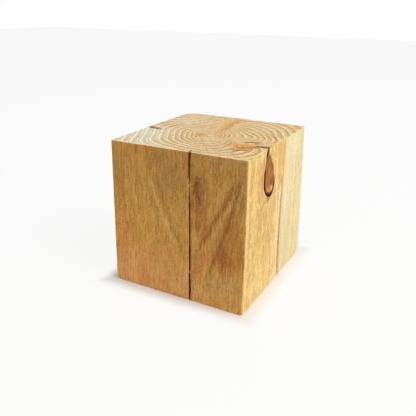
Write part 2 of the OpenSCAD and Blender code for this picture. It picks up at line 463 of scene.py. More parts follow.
@dataclass(frozen=True)
class Figure:
    """How the growth rings lie in the block: the same sums shape the mesh and the finish.

    Places are measured from the left face, the front face and the foot, in mm. `heart`
    is where the rings round the pith close, `near_heart` how far right it lies in the
    part `near_x` and `near_y` by the front face, and `lobes` the height and the turn of
    the trunk's one, three and four bulges.
    """

    block: Block = Block()
    lean: tuple[float, float] = (0.01, 0.02)
    heart: tuple[float, float] = (5.4, 0.4)
    near_heart: float = 14.0
    near_x: tuple[float, float] = (15.0, 50.0)
    near_y: tuple[float, float] = (2.0, 40.0)
    near_swell: float = 8.5
    lobes: tuple[tuple[float, float], ...] = ((0.126, 0.235), (0.04, 1.366), (0.064, 1.418))
    ring_rate: float = 2.37
    ring_offset: float = 0.21
    side_limb: Limb = Limb((98.0, 35.5, 88.0), 0.6, 8.5, 26.0, 40.0)
    front_limb: Limb = Limb((63.5, 0.0, 77.0), 0.5, 4.5, 22.0, 14.0)
    limb_skin: tuple[float, float] = (6.0, 34.0)
    dip: float = 16.0
    bulge: float = 8.0
    dip_spread: tuple[float, float] = (49.0, 600.0)
    bulge_aside: float = 14.0
    bulge_spread: tuple[float, float] = (196.0, 1600.0)
    first_ring: float = 28.0
    ring_gap: float = 1.3
    blend: float = 6.0

    def pith_at(self, z: Number) -> tuple[Number, Number]:
        """Returns where the leaning pith lies at a height."""
        (a, b), up = self.block.pith, self.block.height - z
        return a + up * self.lean[0], b + up * self.lean[1]

    def from_limb(self, limb: Limb, dx: Number, dy: Number, z: Number) -> tuple:
        """Returns a place as seen from a limb.

        Args:
            limb: The limb.
            dx: Distance to the right of the pith.
            dy: Distance behind the pith.
            z: Height above the foot.

        Returns:
            How far out along the limb it lies, how far to the limb's left and how far
            above the limb's heart.
        """
        c, s, length = limb.heading(self.block.pith)
        out = dx * c + dy * s
        aside = dy * c - dx * s
        above = z + out * limb.fall - (limb.end[2] + limb.fall * length)
        return out, aside, above

    def parted(self, x: Number, y: Number, z: Number, sums: Sums) -> tuple[Number, Number]:
        """Returns the place that the wood at a point would have without the limbs.

        Fibres part round a limb and close again above and below it.

        Args:
            x: Distance from the left face.
            y: Distance from the front face.
            z: Height above the foot.
            sums: The sums to use, on arrays or on shader values.

        Returns:
            The distances from the left and front faces, with the fibres upright.
        """
        px, py = self.pith_at(z)
        for limb in (self.side_limb, self.front_limb):
            c, s, _ = limb.heading(self.block.pith)
            out, aside, above = self.from_limb(limb, x - px, y - py, z)
            low = sums.least(above, 0.0) * (1 / limb.push_below)
            high = sums.largest(above, 0.0) * (1 / limb.push_above)
            fade = 1 / (1 + (low * low + high * high) * 2.0) ** 2
            half = fade * limb.thickness * sums.rise(*self.limb_skin, out)
            shut = half * half / (aside * aside + half * half * 1.2 + 0.01)
            x = x + aside * shut * s
            y = y - aside * shut * c
        return x, y

    @staticmethod
    def hump(top: float, a: Number, b: Number, spread: tuple[float, float]) -> Number:
        """Returns a smooth hump about a = b = 0, with the squares of its widths in `spread`."""
        return top / (1 + a * a * (1 / spread[0]) + b * b * (1 / spread[1])) ** 2

    def radius(self, x: Number, y: Number, z: Number, sums: Sums) -> Number:
        """Returns how far out in the trunk the wood at a point grew, in mm.

        Args:
            x: Distance from the left face.
            y: Distance from the front face.
            z: Height above the foot.
            sums: The sums to use, on arrays or on shader values.

        Returns:
            The radius at which the ring of that wood would lie in a plain trunk.
        """
        px, py = self.pith_at(z)
        near = (1 - sums.rise(*self.near_y, y)) * sums.rise(*self.near_x, x)
        dx = x - px - self.heart[0] - near * (self.near_heart - self.heart[0])
        dy = y - py - self.heart[1] * (1 - near)
        r = sums.root(dx * dx + dy * dy + 0.3)
        turn = sums.angle(dy, dx)
        (one, p), (three, q), (four, s) = self.lobes
        uneven = sums.cosine(turn - p) * one + sums.cosine(turn * 3.0 + q) * three
        uneven = (uneven + sums.cosine(turn * 4.0 - s) * four) * (1 - near)
        waves = sums.sine(turn * 3.0 + z * 0.01 + 2.0) * 0.006 + sums.sine(turn * 7.0 + 1.0) * 0.004
        swell = sums.rise(18.0, 92.0, z) * near * self.near_swell
        r = r * (uneven + waves + 1) * (near * 0.12 + 1) - swell

        # The rings dip over the branch to the side knot and bulge beyond it.
        out, aside, above = self.from_limb(self.side_limb, x - px, y - py, z)
        grown = sums.rise(15.0, 35.0, out)
        dip = self.hump(self.dip, aside, above, self.dip_spread)
        bulge = self.hump(self.bulge, aside - self.bulge_aside, above, self.bulge_spread)
        r = r + (dip - bulge) * grown

        # Rings of the front branch's own lie close about it.
        out, aside, above = self.from_limb(self.front_limb, x - px, y - py, z)
        low = sums.least(above, 0.0) * 0.55
        high = sums.largest(above, 0.0) * 0.7
        far = sums.largest(sums.size(aside) - 30.0, 0.0)
        away = sums.root(aside * aside + low * low + high * high + 3.0)
        root = sums.largest(12.0 - out, 0.0) * 2.0
        around = away * self.ring_gap + far * far * 0.03 + root + self.first_ring
        return sums.soft_least(r, around, self.blend)

    def rings(self, r: Number, sums: Sums) -> Number:
        """Returns how many rings lie inside the radius `r`, with the part of a ring."""
        return sums.root(sums.largest(r, 0.0)) * self.ring_rate + self.ring_offset

    @staticmethod
    def late(part: Number, sums: Sums) -> Number:
        """Returns how much late wood there is at a part of a ring."""
        return sums.rise(0.5, 0.9, part) * (1 - sums.rise(0.93, 1.0, part))


# --- Relief of the surface ----------------------------------------------------


class Grit:
    """Smooth noise between -1 and 1 that is the same on every run."""

    CELLS = 32

    def __init__(self, seed: int) -> None:
        """Draws the lattice from the number `seed`."""
        self.values = np.random.default_rng(seed).random((self.CELLS,) * 3) * 2 - 1

    def at(self, x: np.ndarray, y: np.ndarray, z: np.ndarray) -> np.ndarray:
        """Returns the noise at places that are given in cells of the lattice.

        Args:
            x: Places across.
            y: Places back.
            z: Places up.

        Returns:
            The noise at each place.
        """
        place = np.stack(np.broadcast_arrays(x, y, z), -1)
        cell = np.floor(place).astype(int)
        t = place - cell
        t = t * t * (3 - 2 * t)
        total = np.zeros(place.shape[:-1])
        for corner in np.ndindex(2, 2, 2):
            share = np.prod(np.where(corner, t, 1 - t), axis=-1)
            i, j, k = np.moveaxis((cell + corner) % self.CELLS, -1, 0)
            total += share * self.values[i, j, k]
        return total


@dataclass(frozen=True)
class Relief:
    """How far the tool, the weather and the wood itself have lowered the surface, in mm.

    `stub_at` and `swirl_at` are the middles of the stub's hollow and of the swirls below
    it, from the front edge and the foot of the right face. The others in pairs are reaches.
    """

    figure: Figure
    waviness: float = 0.16
    fibre: float = 0.07
    ring_side: float = 0.05
    ring_end: float = 0.13
    grain_end: float = 0.05
    chip: float = 0.9
    chip_edge: tuple[float, float] = (0.4, 2.4)
    stub_sunk: float = 0.75
    stub_at: tuple[float, float] = (35.0, 82.0)
    stub_reach: tuple[float, float] = (7.0, 11.5)
    swirl: float = 0.16
    swirl_at: tuple[float, float] = (30.0, 50.0)
    swirl_reach: tuple[float, float] = (15.0, 19.0)
    flat_foot: float = 1.2

    def depth(self, points: np.ndarray, normals: np.ndarray) -> np.ndarray:
        """Returns how far each point of the skin is lowered, 0 or more.

        Args:
            points: Places on the block, from its left, front and foot.
            normals: Directions that the skin looks in there.

        Returns:
            The depths in mm. The foot keeps 0, so that it stands flat.
        """
        sums = ArraySums
        x, y, z = points.T
        gx, gy = self.figure.parted(x, y, z, sums)
        turns = self.figure.rings(self.figure.radius(x, y, z, sums), sums)
        late = self.figure.late(turns - np.floor(turns), sums)
        end = sums.rise(0.55, 0.85, np.abs(normals[:, 2]))
        broad = Grit(3).at(x / 17, y / 17, z / 24) * 0.6 + Grit(4).at(x / 6, y / 6, z / 9) * 0.4
        strand = Grit(5).at(gx / 1.9, gy / 1.9, z / 19) + Grit(6).at(gx / 4.3, gy / 4.3, z / 40)
        side = self.fibre * (1 + strand / 2) + self.ring_side * (1 - late)
        grain = self.grain_end * (1 + Grit(7).at(x / 1.7, y / 1.7, z))
        ends = self.ring_end * (1 - late) + grain
        low = self.waviness * (1 + broad) / 2 + side * (1 - end) + ends * end
        low = low + self.around_stub(x, y, z) * (normals[:, 0] > 0.7)
        low = low + self.chips(x, y, z)
        return low * sums.rise(0.0, self.flat_foot, z)

    def chips(self, x: np.ndarray, y: np.ndarray, z: np.ndarray) -> np.ndarray:
        """Returns the depth of small chips along the arrises.

        Args:
            x: Distances from the left face.
            y: Distances from the front face.
            z: Heights above the foot.

        Returns:
            One depth for each point.
        """
        b = self.figure.block
        near = np.sort(np.stack([x, b.width - x, y, b.depth - y, z, b.height - z]), axis=0)
        edge = 1 - ArraySums.rise(*self.chip_edge, np.maximum(near[0], near[1]))
        bite = np.maximum(Grit(8).at(x / 2.6, y / 2.6, z / 4.5) - 0.52, 0)
        bite += 0.6 * np.maximum(Grit(9).at(x / 1.1, y / 1.1, z / 1.9) - 0.5, 0)
        return self.chip * edge * bite

    def around_stub(self, x: np.ndarray, y: np.ndarray, z: np.ndarray) -> np.ndarray:
        """Returns the depth of the hollow in the knot's stub and of the swirls below it.

        Args:
            x: Distances from the left face.
            y: Distances from the front face.
            z: Heights above the foot.

        Returns:
            One depth for each point.
        """
        (middle, top), (wide, high) = self.stub_at, self.stub_reach
        across, under = (y - middle) / wide, np.minimum((z - top) / high, 0)
        low = 1 - ArraySums.rise(0.62, 1.05, np.sqrt(across**2 + under**2))
        ridges = Grit(10).at(y / 1.5, x, z / 9.0) * 0.35 + Grit(11).at(y / 3.0, x, z / 5.0) * 0.3
        stub = self.stub_sunk * low * (1 + ridges)
        (middle, top), (wide, high) = self.swirl_at, self.swirl_reach
        out = np.exp(-(((y - middle) / wide) ** 2) - ((z - top) / high) ** 2)
        turn = Grit(12).at(y / 9, x, z / 11) * 3.2
        swirls = self.swirl * out * (1 + np.sin(y * 0.55 + z * 0.28 + turn))
        return stub + swirls


# --- Clefts -------------------------------------------------------------------


@dataclass(frozen=True)
class Cleft:
    """A wedge-shaped void swept along a course of mouths, with ragged walls.

    The course holds a place, an inward direction, a width and a depth in each row.
    `proud` is how far it stands out of the face. The wedge narrows to `waist_width` of
    its mouth at the share `waist` of its depth, and then to nothing.
    """

    course: np.ndarray
    seed: int
    ragged: float = 0.16
    proud: float = 2.0
    waist: float = 0.55
    waist_width: float = 0.62
    spacing: float = 0.8
    wander: float = 0.6
    fray: float = 0.55
    swell: float = 0.22
    INWARD_STEPS = (0.0, 0.05, 0.13, 0.25, 0.4, 0.55, 0.77)

    def even(self) -> np.ndarray:
        """Returns the course with its rows evenly apart.

        Returns:
            The rows, about one `spacing` apart.
        """
        total = distances(self.course[:, :3])
        stops = np.linspace(0, total[-1], max(6, round(total[-1] / self.spacing)) + 1)
        return np.stack([np.interp(stops, total, c) for c in self.course.T], axis=1)

    def skin(self) -> Skin:
        """Returns the closed skin of the void.

        Returns:
            The skin, which looks outwards.
        """
        rows = self.even()
        mouth, inward = rows[:, :3], unit(rows[:, 3:6])
        width, depth = rows[:, 6], rows[:, 7]
        side = unit(np.cross(unit(np.gradient(mouth, axis=0)), inward))
        run = np.arange(len(rows)) * self.spacing
        slow, swelling, rough = (Grit(self.seed + n) for n in range(3))
        thin = np.minimum(width, 1)
        wander = self.ragged * self.wander * slow.at(run / 3.7, 0.5, 0.5) * thin
        swell = 1 + self.swell * swelling.at(run / 2.3, 0.5, 0.5)
        out = self.proud / depth
        flare = 1 + out
        walls: tuple[list, list] = ([], [])
        for n, share in enumerate([-out] + [np.full_like(depth, f) for f in self.INWARD_STEPS]):
            outer = (share + out) / (self.waist + out)
            inner = (share - self.waist) / (1 - self.waist)
            upper = flare + (self.waist_width - flare) * outer
            lower = self.waist_width * (1 - inner)
            half = np.where(share < self.waist, upper, lower) * width / 2 * swell
            centre = mouth + (share * depth)[:, None] * inward + wander[:, None] * side
            for hand, wall in zip((-1, 1), walls):
                fray = 0.0 if n == 0 else self.ragged * self.fray
                fray = fray * rough.at(run / 1.6, n * 0.8, 7.3 * hand) * thin
                wall.append(centre + (hand * half + fray)[:, None] * side)
        root = mouth + depth[:, None] * inward
        return self.closed(np.stack(walls[0] + [root] + walls[1][::-1], axis=1))

    @staticmethod
    def closed(loops: np.ndarray) -> Skin:
        """Returns a closed skin over loops of points.

        Args:
            loops: Points by loop and by place round the loop.

        Returns:
            The skin, which looks outwards.
        """
        rows, size = loops.shape[:2]
        faces = band(rows, size)
        half = size // 2
        for base, turned in ((0, True), ((rows - 1) * size, False)):
            ends = [[base + half - 1, base + half, base + half + 1]]
            for c in range(half - 1):
                ends.append([base + c, base + c + 1, base + size - 2 - c, base + size - 1 - c])
            faces += [f[::-1] for f in ends] if turned else ends
        points = loops.reshape(-1, 3)
        volume = 0.0
        for f in faces:
            for k in range(1, len(f) - 1):
                volume += float(np.dot(points[f[0]], np.cross(points[f[k]], points[f[k + 1]])))
        return Skin(points, faces if volume >= 0 else [f[::-1] for f in faces])


def smooth(course: list[list[float]], steps: int = 24) -> np.ndarray:
    """Returns a smooth course through rows of numbers, and through each of them.

    Args:
        course: The named rows.
        steps: Points for each stretch between two of them.

    Returns:
        The rows of the smooth course.
    """
    named = np.array(course, float)
    last = len(named) - 1
    rows = []
    for i in range(last):
        a, b, c, d = named[max(i - 1, 0)], named[i], named[i + 1], named[min(i + 2, last)]
        square, cube = 2 * a - 5 * b + 4 * c - d, 3 * b - 3 * c + d - a
        for t in np.arange(steps) / steps:
            rows.append(0.5 * (2 * b + t * (c - a) + t**2 * square + t**3 * cube))
    return np.array(rows + [named[last]])


@dataclass(frozen=True)
class Check:
    """A drying check that opens a side face towards the pith. Lengths in mm."""

    start: Corner
    end: Corner
    across: float
    mouth: float
    depth: float
    seed: int

    def cleft(self, block: Block, course: list[list[float]]) -> Cleft:
        """Returns the void of one length of the check.

        Args:
            block: The block that it opens.
            course: Rows of height share, drift across, share of the mouth and of the depth.

        Returns:
            The void.
        """
        run = smooth(course)
        across, z = self.across + run[:, 1], run[:, 0] * block.height
        mouths = block.on_face(self.start, self.end, across, z)
        plan = unit(np.array(block.pith) - block.half - mouths[:, :2])
        inward = np.concatenate([plan, np.zeros((len(plan), 1))], axis=1)
        width, depth = self.mouth * run[:, 2:3], self.depth * run[:, 3:4]
        return Cleft(np.concatenate([mouths, inward, width, depth], axis=1), self.seed)


@dataclass(frozen=True)
class Checks:
    """The three drying checks of the block. Lengths in mm."""

    front: Check = Check(Corner.FRONT_LEFT, Corner.FRONT_RIGHT, 59.0, 1.1, 28.0, 20)
    front_bridge: float = 1.2
    upper_bridge: float = 0.79
    lower_bridge: float = 0.205
    right: Check = Check(Corner.FRONT_RIGHT, Corner.BACK_RIGHT, 58.5, 1.2, 22.0, 30)
    right_climb: float = 74.0
    left: Check = Check(Corner.FRONT_LEFT, Corner.BACK_LEFT, 46.0, 1.7, 11.0, 40)
    left_drop: float = 62.0

    def voids(self, block: Block) -> list[Cleft]:
        """Returns the void of every length of every check.

        Args:
            block: The block that they open.

        Returns:
            The voids, with those of the front check first.
        """
        upper, lower = self.upper_bridge, self.lower_bridge
        half = self.front_bridge / 2 / block.height
        above = [
            [1.03, -0.3, 0.9, 0.2],
            [0.97, -0.45, 0.95, 0.28],
            [0.925, -0.7, 0.85, 0.45],
            [0.86, -0.6, 0.75, 0.6],
            [upper + 0.03, -0.5, 0.35, 0.4],
            [upper + half, -0.6, 0.2, 0.2],
        ]
        between = [
            [upper - half, -0.2, 0.2, 0.2],
            [0.75, -0.4, 0.35, 0.6],
            [0.69, -0.2, 0.6, 0.9],
            [0.54, 0.0, 0.6, 1.0],
            [0.44, 0.3, 0.75, 1.0],
            [0.4, 0.4, 0.75, 1.0],
            [0.3, 0.4, 0.8, 1.0],
            [0.24, 0.5, 0.8, 0.9],
            [lower + half, 0.4, 0.6, 0.5],
        ]
        below = [
            [lower - half, 0.3, 0.7, 0.5],
            [0.17, 0.5, 0.95, 0.85],
            [0.1, 0.8, 1.0, 0.95],
            [0.03, 0.7, 1.0, 0.95],
            [-0.03, 0.7, 1.0, 0.95],
        ]
        top = self.right_climb / block.height
        right = [
            [-0.03, 0.7, 1.0, 1.0],
            [0.05, 0.5, 1.0, 1.0],
            [top * 0.15, -0.3, 0.85, 0.95],
            [top * 0.35, -0.2, 0.8, 0.9],
            [top * 0.55, 0.3, 0.6, 0.75],
            [top * 0.8, 0.6, 0.4, 0.5],
            [top, 1.0, 0.15, 0.15],
        ]
        drop = self.left_drop / block.height
        left = [
            [1.03, 0.0, 1.0, 1.0],
            [0.94, 0.2, 0.95, 1.0],
            [1 - drop * 0.3, -0.4, 0.8, 0.9],
            [1 - drop * 0.6, 0.3, 0.6, 0.7],
            [1 - drop * 0.85, 0.1, 0.35, 0.4],
            [1 - drop, 0.3, 0.15, 0.15],
        ]
        made = [self.front.cleft(block, course) for course in (above, between, below)]
        return made + [self.right.cleft(block, right), self.left.cleft(block, left)]


@dataclass(frozen=True)
class BarkCleft:
    """The cleft that bark left round the knot on the right face. Lengths in mm.

    The course holds shares of half the knot's width, of its drop, of the cleft's width
    and of its depth.
    """

    knot_y: float = 35.5
    knot_w: float = 17.0
    knot_drop: float = 32.0
    cleft_w: float = 2.2
    depth: float = 11.0
    climb: float = 32.0
    seed: int = 50

    def void(self, block: Block) -> Cleft:
        """Returns the void down the front of the knot, round its keel and up its back.

        Args:
            block: The block that it opens.

        Returns:
            The void.
        """
        run = smooth(
            [
                [-0.3, -0.3, 1.0, 1.0],
                [-0.42, 0.03, 1.05, 1.0],
                [-0.86, 0.25, 0.85, 0.9],
                [-1.02, 0.58, 1.0, 0.9],
                [-0.95, 0.79, 0.8, 0.85],
                [-0.42, 0.93, 0.65, 0.8],
                [0.3, 1.01, 0.65, 0.75],
                [0.8, 0.93, 0.85, 0.6],
                [0.98, 0.78, 1.0, 0.4],
                [0.93, 0.64, 0.4, 0.15],
            ]
        )
        across = self.knot_y + run[:, 0] * self.knot_w / 2
        z = block.height - run[:, 1] * self.knot_drop
        mouths = block.on_face(Corner.FRONT_RIGHT, Corner.BACK_RIGHT, across, z)
        climb = math.radians(self.climb)
        inward = np.tile([-math.cos(climb), 0.0, -math.sin(climb)], (len(run), 1))
        width, depth = self.cleft_w * run[:, 2:3], self.depth * run[:, 3:4]
        course = np.concatenate([mouths, inward, width, depth], axis=1)
        return Cleft(course, self.seed, ragged=0.2, spacing=0.6)


# --- The piece of timber ------------------------------------------------------


@dataclass
class Timber:
    """The block itself: one closed mesh with its checks, its knot and its worn skin."""

    block: Block = Block()
    weave: Weave = Weave()
    figure: Figure = Figure()
    checks: Checks = Checks()
    bark: BarkCleft = BarkCleft()
    sharp_from: float = 42.0

    @property
    def middle(self) -> np.ndarray:
        """Middle of the block's own box in plan, in mm."""
        b = self.block
        z = np.array([0, b.foot_ease, b.wear_height, b.height / 2, b.height - b.head_ease])
        inset = np.array([b.foot_ease, 0.0, 0.0, 0.0, 0.0])
        plan = SkinMaker(b, self.weave).plan(z, inset).reshape(-1, 2)
        return (plan.min(0) + plan.max(0)) / 2

    def build(self) -> bpy.types.Object:
        """Builds the piece, carved and shaded but without its finish.

        Returns:
            The piece.
        """
        middle = self.middle
        body = SkinMaker(self.block, self.weave).make().piece("timber_skin", middle)
        self.wear(body.data)
        vertices, faces = body.data.vertices, body.data.polygons
        shell = BVHTree.FromPolygons([v.co for v in vertices], [f.vertices for f in faces])
        for n, void in enumerate(self.checks.voids(self.block) + [self.bark.void(self.block)]):
            self.cut(body, void.skin().piece(f"void_{n}", middle))
        self.mark_inside(body.data, shell)
        body.data.shade_smooth()
        body.data.set_sharp_from_angle(angle=math.radians(self.sharp_from))
        body.name = body.data.name = "timber"
        return body

    def wear(self, mesh: bpy.types.Mesh) -> None:
        """Lowers the skin by its relief.

        Args:
            mesh: Mesh of the block.
        """
        points, normals = (np.empty(len(mesh.vertices) * 3) for _ in range(2))
        mesh.vertices.foreach_get("co", points)
        mesh.vertex_normals.foreach_get("vector", normals)
        points, normals = points.reshape(-1, 3), normals.reshape(-1, 3)
        shift = np.array([*(self.middle + self.block.half), 0.0])
        low = Relief(self.figure).depth(points / MM + shift, normals)
        mesh.vertices.foreach_set("co", (points - normals * low[:, None] * MM).ravel())
        mesh.update()

    def cut(self, body: bpy.types.Object, cutter: bpy.types.Object) -> None:
        """Takes a void out of the body and removes the cutter.

        Args:
            body: The piece to cut.
            cutter: The void.
        """
        step = body.modifiers.new("void", "BOOLEAN")
        step.operation, step.solver, step.object = "DIFFERENCE", "MANIFOLD", cutter
        before, hull = body.data, cutter.data
        carved = body.evaluated_get(bpy.context.evaluated_depsgraph_get())
        body.data = bpy.data.meshes.new_from_object(carved)
        body.modifiers.clear()
        bpy.data.objects.remove(cutter)
        for spent in (before, hull):
            bpy.data.meshes.remove(spent)

    def mark_inside(self, mesh: bpy.types.Mesh, shell: BVHTree) -> None:
        """Notes how far below the sawn skin each point lies, in mm, for the finish.

        Args:
            mesh: The carved mesh.
            shell: The skin before it was carved.
        """
        mark = mesh.attributes.new("inside", "FLOAT", "POINT")
        depths = [shell.find_nearest(v.co)[3] / MM for v in mesh.vertices]
        mark.data.foreach_set("value", np.array(depths, np.float32))


# --- Shader sums --------------------------------------------------------------


class Blend(Enum):
    """Ways in which one colour is laid over another."""

    OVER = "MIX"
    TIMES = "MULTIPLY"


def joined(operation: str, turned: bool = False) -> Callable[["Wire", Number], "Wire"]:
    """Returns an operator that joins two values by a Math node.

    Args:
        operation: The node's operation.
        turned: Whether the other value comes first.

    Returns:
        The operator, as a method.
    """

    def join(self: "Wire", other: Number) -> "Wire":
        """Returns the two values, joined."""
        return self.graph.sum(operation, *((other, self) if turned else (self, other)))

    return join


@dataclass(frozen=True, eq=False)
class Wire:
    """A value on its way between nodes, which takes part in sums."""

    graph: "Graph"
    socket: bpy.types.NodeSocket

    __add__, __radd__ = joined("ADD"), joined("ADD", turned=True)
    __sub__, __rsub__ = joined("SUBTRACT"), joined("SUBTRACT", turned=True)
    __mul__, __rmul__ = joined("MULTIPLY"), joined("MULTIPLY", turned=True)
    __truediv__, __rtruediv__ = joined("DIVIDE"), joined("DIVIDE", turned=True)
    __pow__ = joined("POWER")

    def __neg__(self) -> "Wire":
        """Returns the value with the other sign."""
        return self * -1.0


class Tint(Wire):
    """A colour on its way between nodes."""

    def toward(
        self, other: Union[Wire, Colour], share: Number, blend: Blend = Blend.OVER
    ) -> "Tint":
        """Returns this colour with another laid over it.

        Args:
            other: The other colour.
            share: How much of it is laid on.
            blend: How it is laid on.

        Returns:
            The mixed colour.
        """
        settings = {"data_type": "RGBA", "blend_type": blend.value, "clamp_factor": True}
        node = self.graph.node("ShaderNodeMix", settings, {0: share, 6: self, 7: other})
        return Tint(self.graph, node.outputs[2])

    def scaled(self, share: Number) -> "Tint":
        """Returns this colour made lighter or darker by a factor."""
        grey = self.graph.wire("ShaderNodeCombineColor", {}, {0: share, 1: share, 2: share})
        return self.toward(grey, 1.0, Blend.TIMES)


def step(operation: str) -> Callable[..., Wire]:
    """Returns a method that adds a Math node of one operation to a graph.

    Args:
        operation: The node's operation.

    Returns:
        The method.
    """

    def add(self: "Graph", *values: Number) -> Wire:
        """Returns the result of the node on the values."""
        return self.sum(operation, *values)

    return add


class Graph:
    """Builds the nodes of one material or world, and offers the figure's sums on them."""

    sine, cosine, root, size = step("SINE"), step("COSINE"), step("SQRT"), step("ABSOLUTE")
    angle, largest, least = step("ARCTAN2"), step("MAXIMUM"), step("MINIMUM")
    fraction, soft_least = step("FRACT"), step("SMOOTH_MIN")

    def __init__(self, tree: bpy.types.NodeTree) -> None:
        """Empties the tree and keeps it."""
        self.tree = tree
        tree.nodes.clear()

    def node(self, kind: str, settings: dict, sockets: dict) -> bpy.types.Node:
        """Returns a new node.

        Args:
            kind: Type of the node.
            settings: Its settings, which are set first.
            sockets: Values or links of its input sockets, by name or number.

        Returns:
            The node.
        """
        made = self.tree.nodes.new(kind)
        for name, value in settings.items():
            setattr(made, name, value)
        for key, value in sockets.items():
            if isinstance(value, Wire):
                self.tree.links.new(value.socket, made.inputs[key])
            elif made.inputs[key].type == "RGBA":
                made.inputs[key].default_value = (*value, 1.0)
            else:
                made.inputs[key].default_value = value
        return made

    def wire(
        self, kind: str, settings: dict, sockets: dict, output: Union[int, str] = 0
    ) -> Wire:
        """Returns an output of a new node, which `node` makes of the first three."""
        return Wire(self, self.node(kind, settings, sockets).outputs[output])

    def sum(self, operation: str, a: Number, b: Number = 0.0, c: Number = 0.0) -> Wire:
        """Returns the result of a Math node."""
        return self.wire("ShaderNodeMath", {"operation": operation}, {0: a, 1: b, 2: c})

    def vector(self, operation: str, sockets: dict, output: Union[int, str] = 0) -> Wire:
        """Returns the result of a Vector Math node."""
        return self.wire("ShaderNodeVectorMath", {"operation": operation}, sockets, output)

    def rise(self, low: float, high: float, v: Number) -> Wire:
        """Returns 0 below `low`, 1 above `high` and a smooth rise between them."""
        return self.ramp(low, high, v, 0.0, 1.0)

    def fall(self, low: float, high: float, v: Number, top: float = 1.0) -> Wire:
        """Returns `top` below `low`, 0 above `high` and a smooth fall between them."""
        return self.ramp(low, high, v, top, 0.0)

    def ramp(self, low: float, high: float, v: Number, first: float, last: float) -> Wire:
        """Returns `first` below `low`, `last` above `high` and a smooth change between them.

        The change levels off at both ends by itself. A clamp would only add nodes, and
        with them more values at once than a render holds.

        Args:
            low: Where the change starts.
            high: Where it ends.
            v: The value that it follows.
            first: The result before it.
            last: The result after it.

        Returns:
            The result.
        """
        sockets = {"Value": v, "From Min": low, "From Max": high, "To Min": first, "To Max": last}
        settings = {"interpolation_type": "SMOOTHSTEP", "clamp": False}
        return self.wire("ShaderNodeMapRange", settings, sockets)

    def within(self, low: float, full: float, fade: float, gone: float, v: Number) -> Wire:
        """Returns 1 from `full` to `fade`, with a smooth change to 0 at `low` and `gone`."""
        return self.rise(low, full, v) * (1 - self.rise(fade, gone, v))

    def place(self, x: Number, y: Number, z: Number) -> Wire:
        """Returns a vector of three values."""
        return self.wire("ShaderNodeCombineXYZ", {}, {0: x, 1: y, 2: z})

    def split(self, place: Wire) -> tuple[Wire, Wire, Wire]:
        """Returns the three values of a vector."""
        node = self.node("ShaderNodeSeparateXYZ", {}, {0: place})
        return tuple(Wire(self, node.outputs[n]) for n in range(3))

    def noise(self, place: tuple, detail: float, rough: float) -> Wire:
        """Returns noise about 0.5.

        Args:
            place: Where it is taken, in cells.
            detail: Octaves.
            rough: Strength of the finer octaves.

        Returns:
            The noise.
        """
        sockets = {"Vector": self.place(*place), "Scale": 1.0, "Detail": detail}
        settings = {"noise_dimensions": "3D"}
        return self.wire("ShaderNodeTexNoise", settings, sockets | {"Roughness": rough})

    def tint(self, colour: Colour) -> Tint:
        """Returns a plain colour.

        Args:
            colour: The colour, linear.

        Returns:
            The colour, as a value between nodes.
        """
        node = self.node("ShaderNodeRGB", {}, {})
        node.outputs[0].default_value = (*colour, 1.0)
        return Tint(self, node.outputs[0])

    def seen_ray(self) -> Wire:
        """Returns 1 for what the camera sees, straight or in gloss and glass, and 0 for light.

        Returns:
            The share.
        """
        ray = self.node("ShaderNodeLightPath", {}, {}).outputs
        camera, gloss, glass = (
            Wire(self, ray[f"Is {name} Ray"]) for name in ("Camera", "Glossy", "Transmission")
        )
        return self.largest(camera, self.largest(gloss, glass))


def swing(noise: Wire, reach: float) -> Wire:
    """Returns noise about 0.5 as a shift about 0, over the whole `reach`."""
    return (noise - 0.5) * reach


def ink(red: int, green: int, blue: int) -> Colour:
    """Returns the linear colour of a colour that is written from 0 to 255."""
    written = (red / 255, green / 255, blue / 255)
    return tuple(v / 12.92 if v <= 0.04045 else ((v + 0.055) / 1.055) ** 2.4 for v in written)


# --- Finishes -----------------------------------------------------------------


@dataclass(frozen=True)
class Spot:
    """A place on one face of the timber: across it and up it, in mm, and both at once."""

    g: Graph
    across: Wire
    up: Wire
    both: Wire


@dataclass(frozen=True)
class Patch:
    """A soft patch of another colour on one face of the timber. Lengths in mm.

    `across` and `up` are its middle on that face, `wide` and `high` half its size.
    """

    across: float
    up: float
    wide: float
    high: float
    colour: Colour
    share: float
    core: float = 0.15

    def mask(self, at: Spot) -> Wire:
        """Returns how strong the patch is.

        Args:
            at: The place on the face.

        Returns:
            The strength, from 0 to its share.
        """
        scale = (1 / self.wide, 1 / self.high, 0.0)
        shift = (-self.across / self.wide, -self.up / self.high, 0.0)
        off = at.g.vector("MULTIPLY_ADD", {0: at.both, 1: scale, 2: shift})
        return at.g.fall(self.core, 1.0, at.g.vector("LENGTH", {0: off}, "Value"), self.share)


@dataclass(frozen=True)
class Stripe:
    """A soft stripe of another colour along a bent line on one face. Lengths in mm.

    The line runs up the face through three places, each given across and up.
    """

    foot: tuple[float, float]
    bend: tuple[float, float]
    head: tuple[float, float]
    wide: float
    colour: Colour
    share: float
    fade: float = 5.0
    core: float = 0.2

    def line(self, at: Spot) -> Wire:
        """Returns how far across the line lies at a place up the face.

        Args:
            at: The place on the face.

        Returns:
            The distance across the face.
        """
        (a, p), (b, q), (c, r) = self.foot, self.bend, self.head
        slope = (b - a) / (q - p)
        turn = ((c - b) / (r - q) - slope) / (r - p)
        bent = at.g.sum("MULTIPLY_ADD", at.up, turn, slope - turn * (p + q))
        return at.g.sum("MULTIPLY_ADD", bent, at.up, a - p * slope + p * q * turn)

    def mask(self, at: Spot) -> Wire:
        """Returns how strong the stripe is.

        Args:
            at: The place on the face.

        Returns:
            The strength, from 0 to its share.
        """
        off = at.g.size(at.across - self.line(at))
        low, high = self.foot[1], self.head[1]
        ends = at.g.rise(low, low + self.fade, at.up) * at.g.fall(high - self.fade, high, at.up)
        return at.g.fall(self.wide * self.core, self.wide, off, self.share) * ends


Marks = tuple[Union[Patch, Stripe], ...]


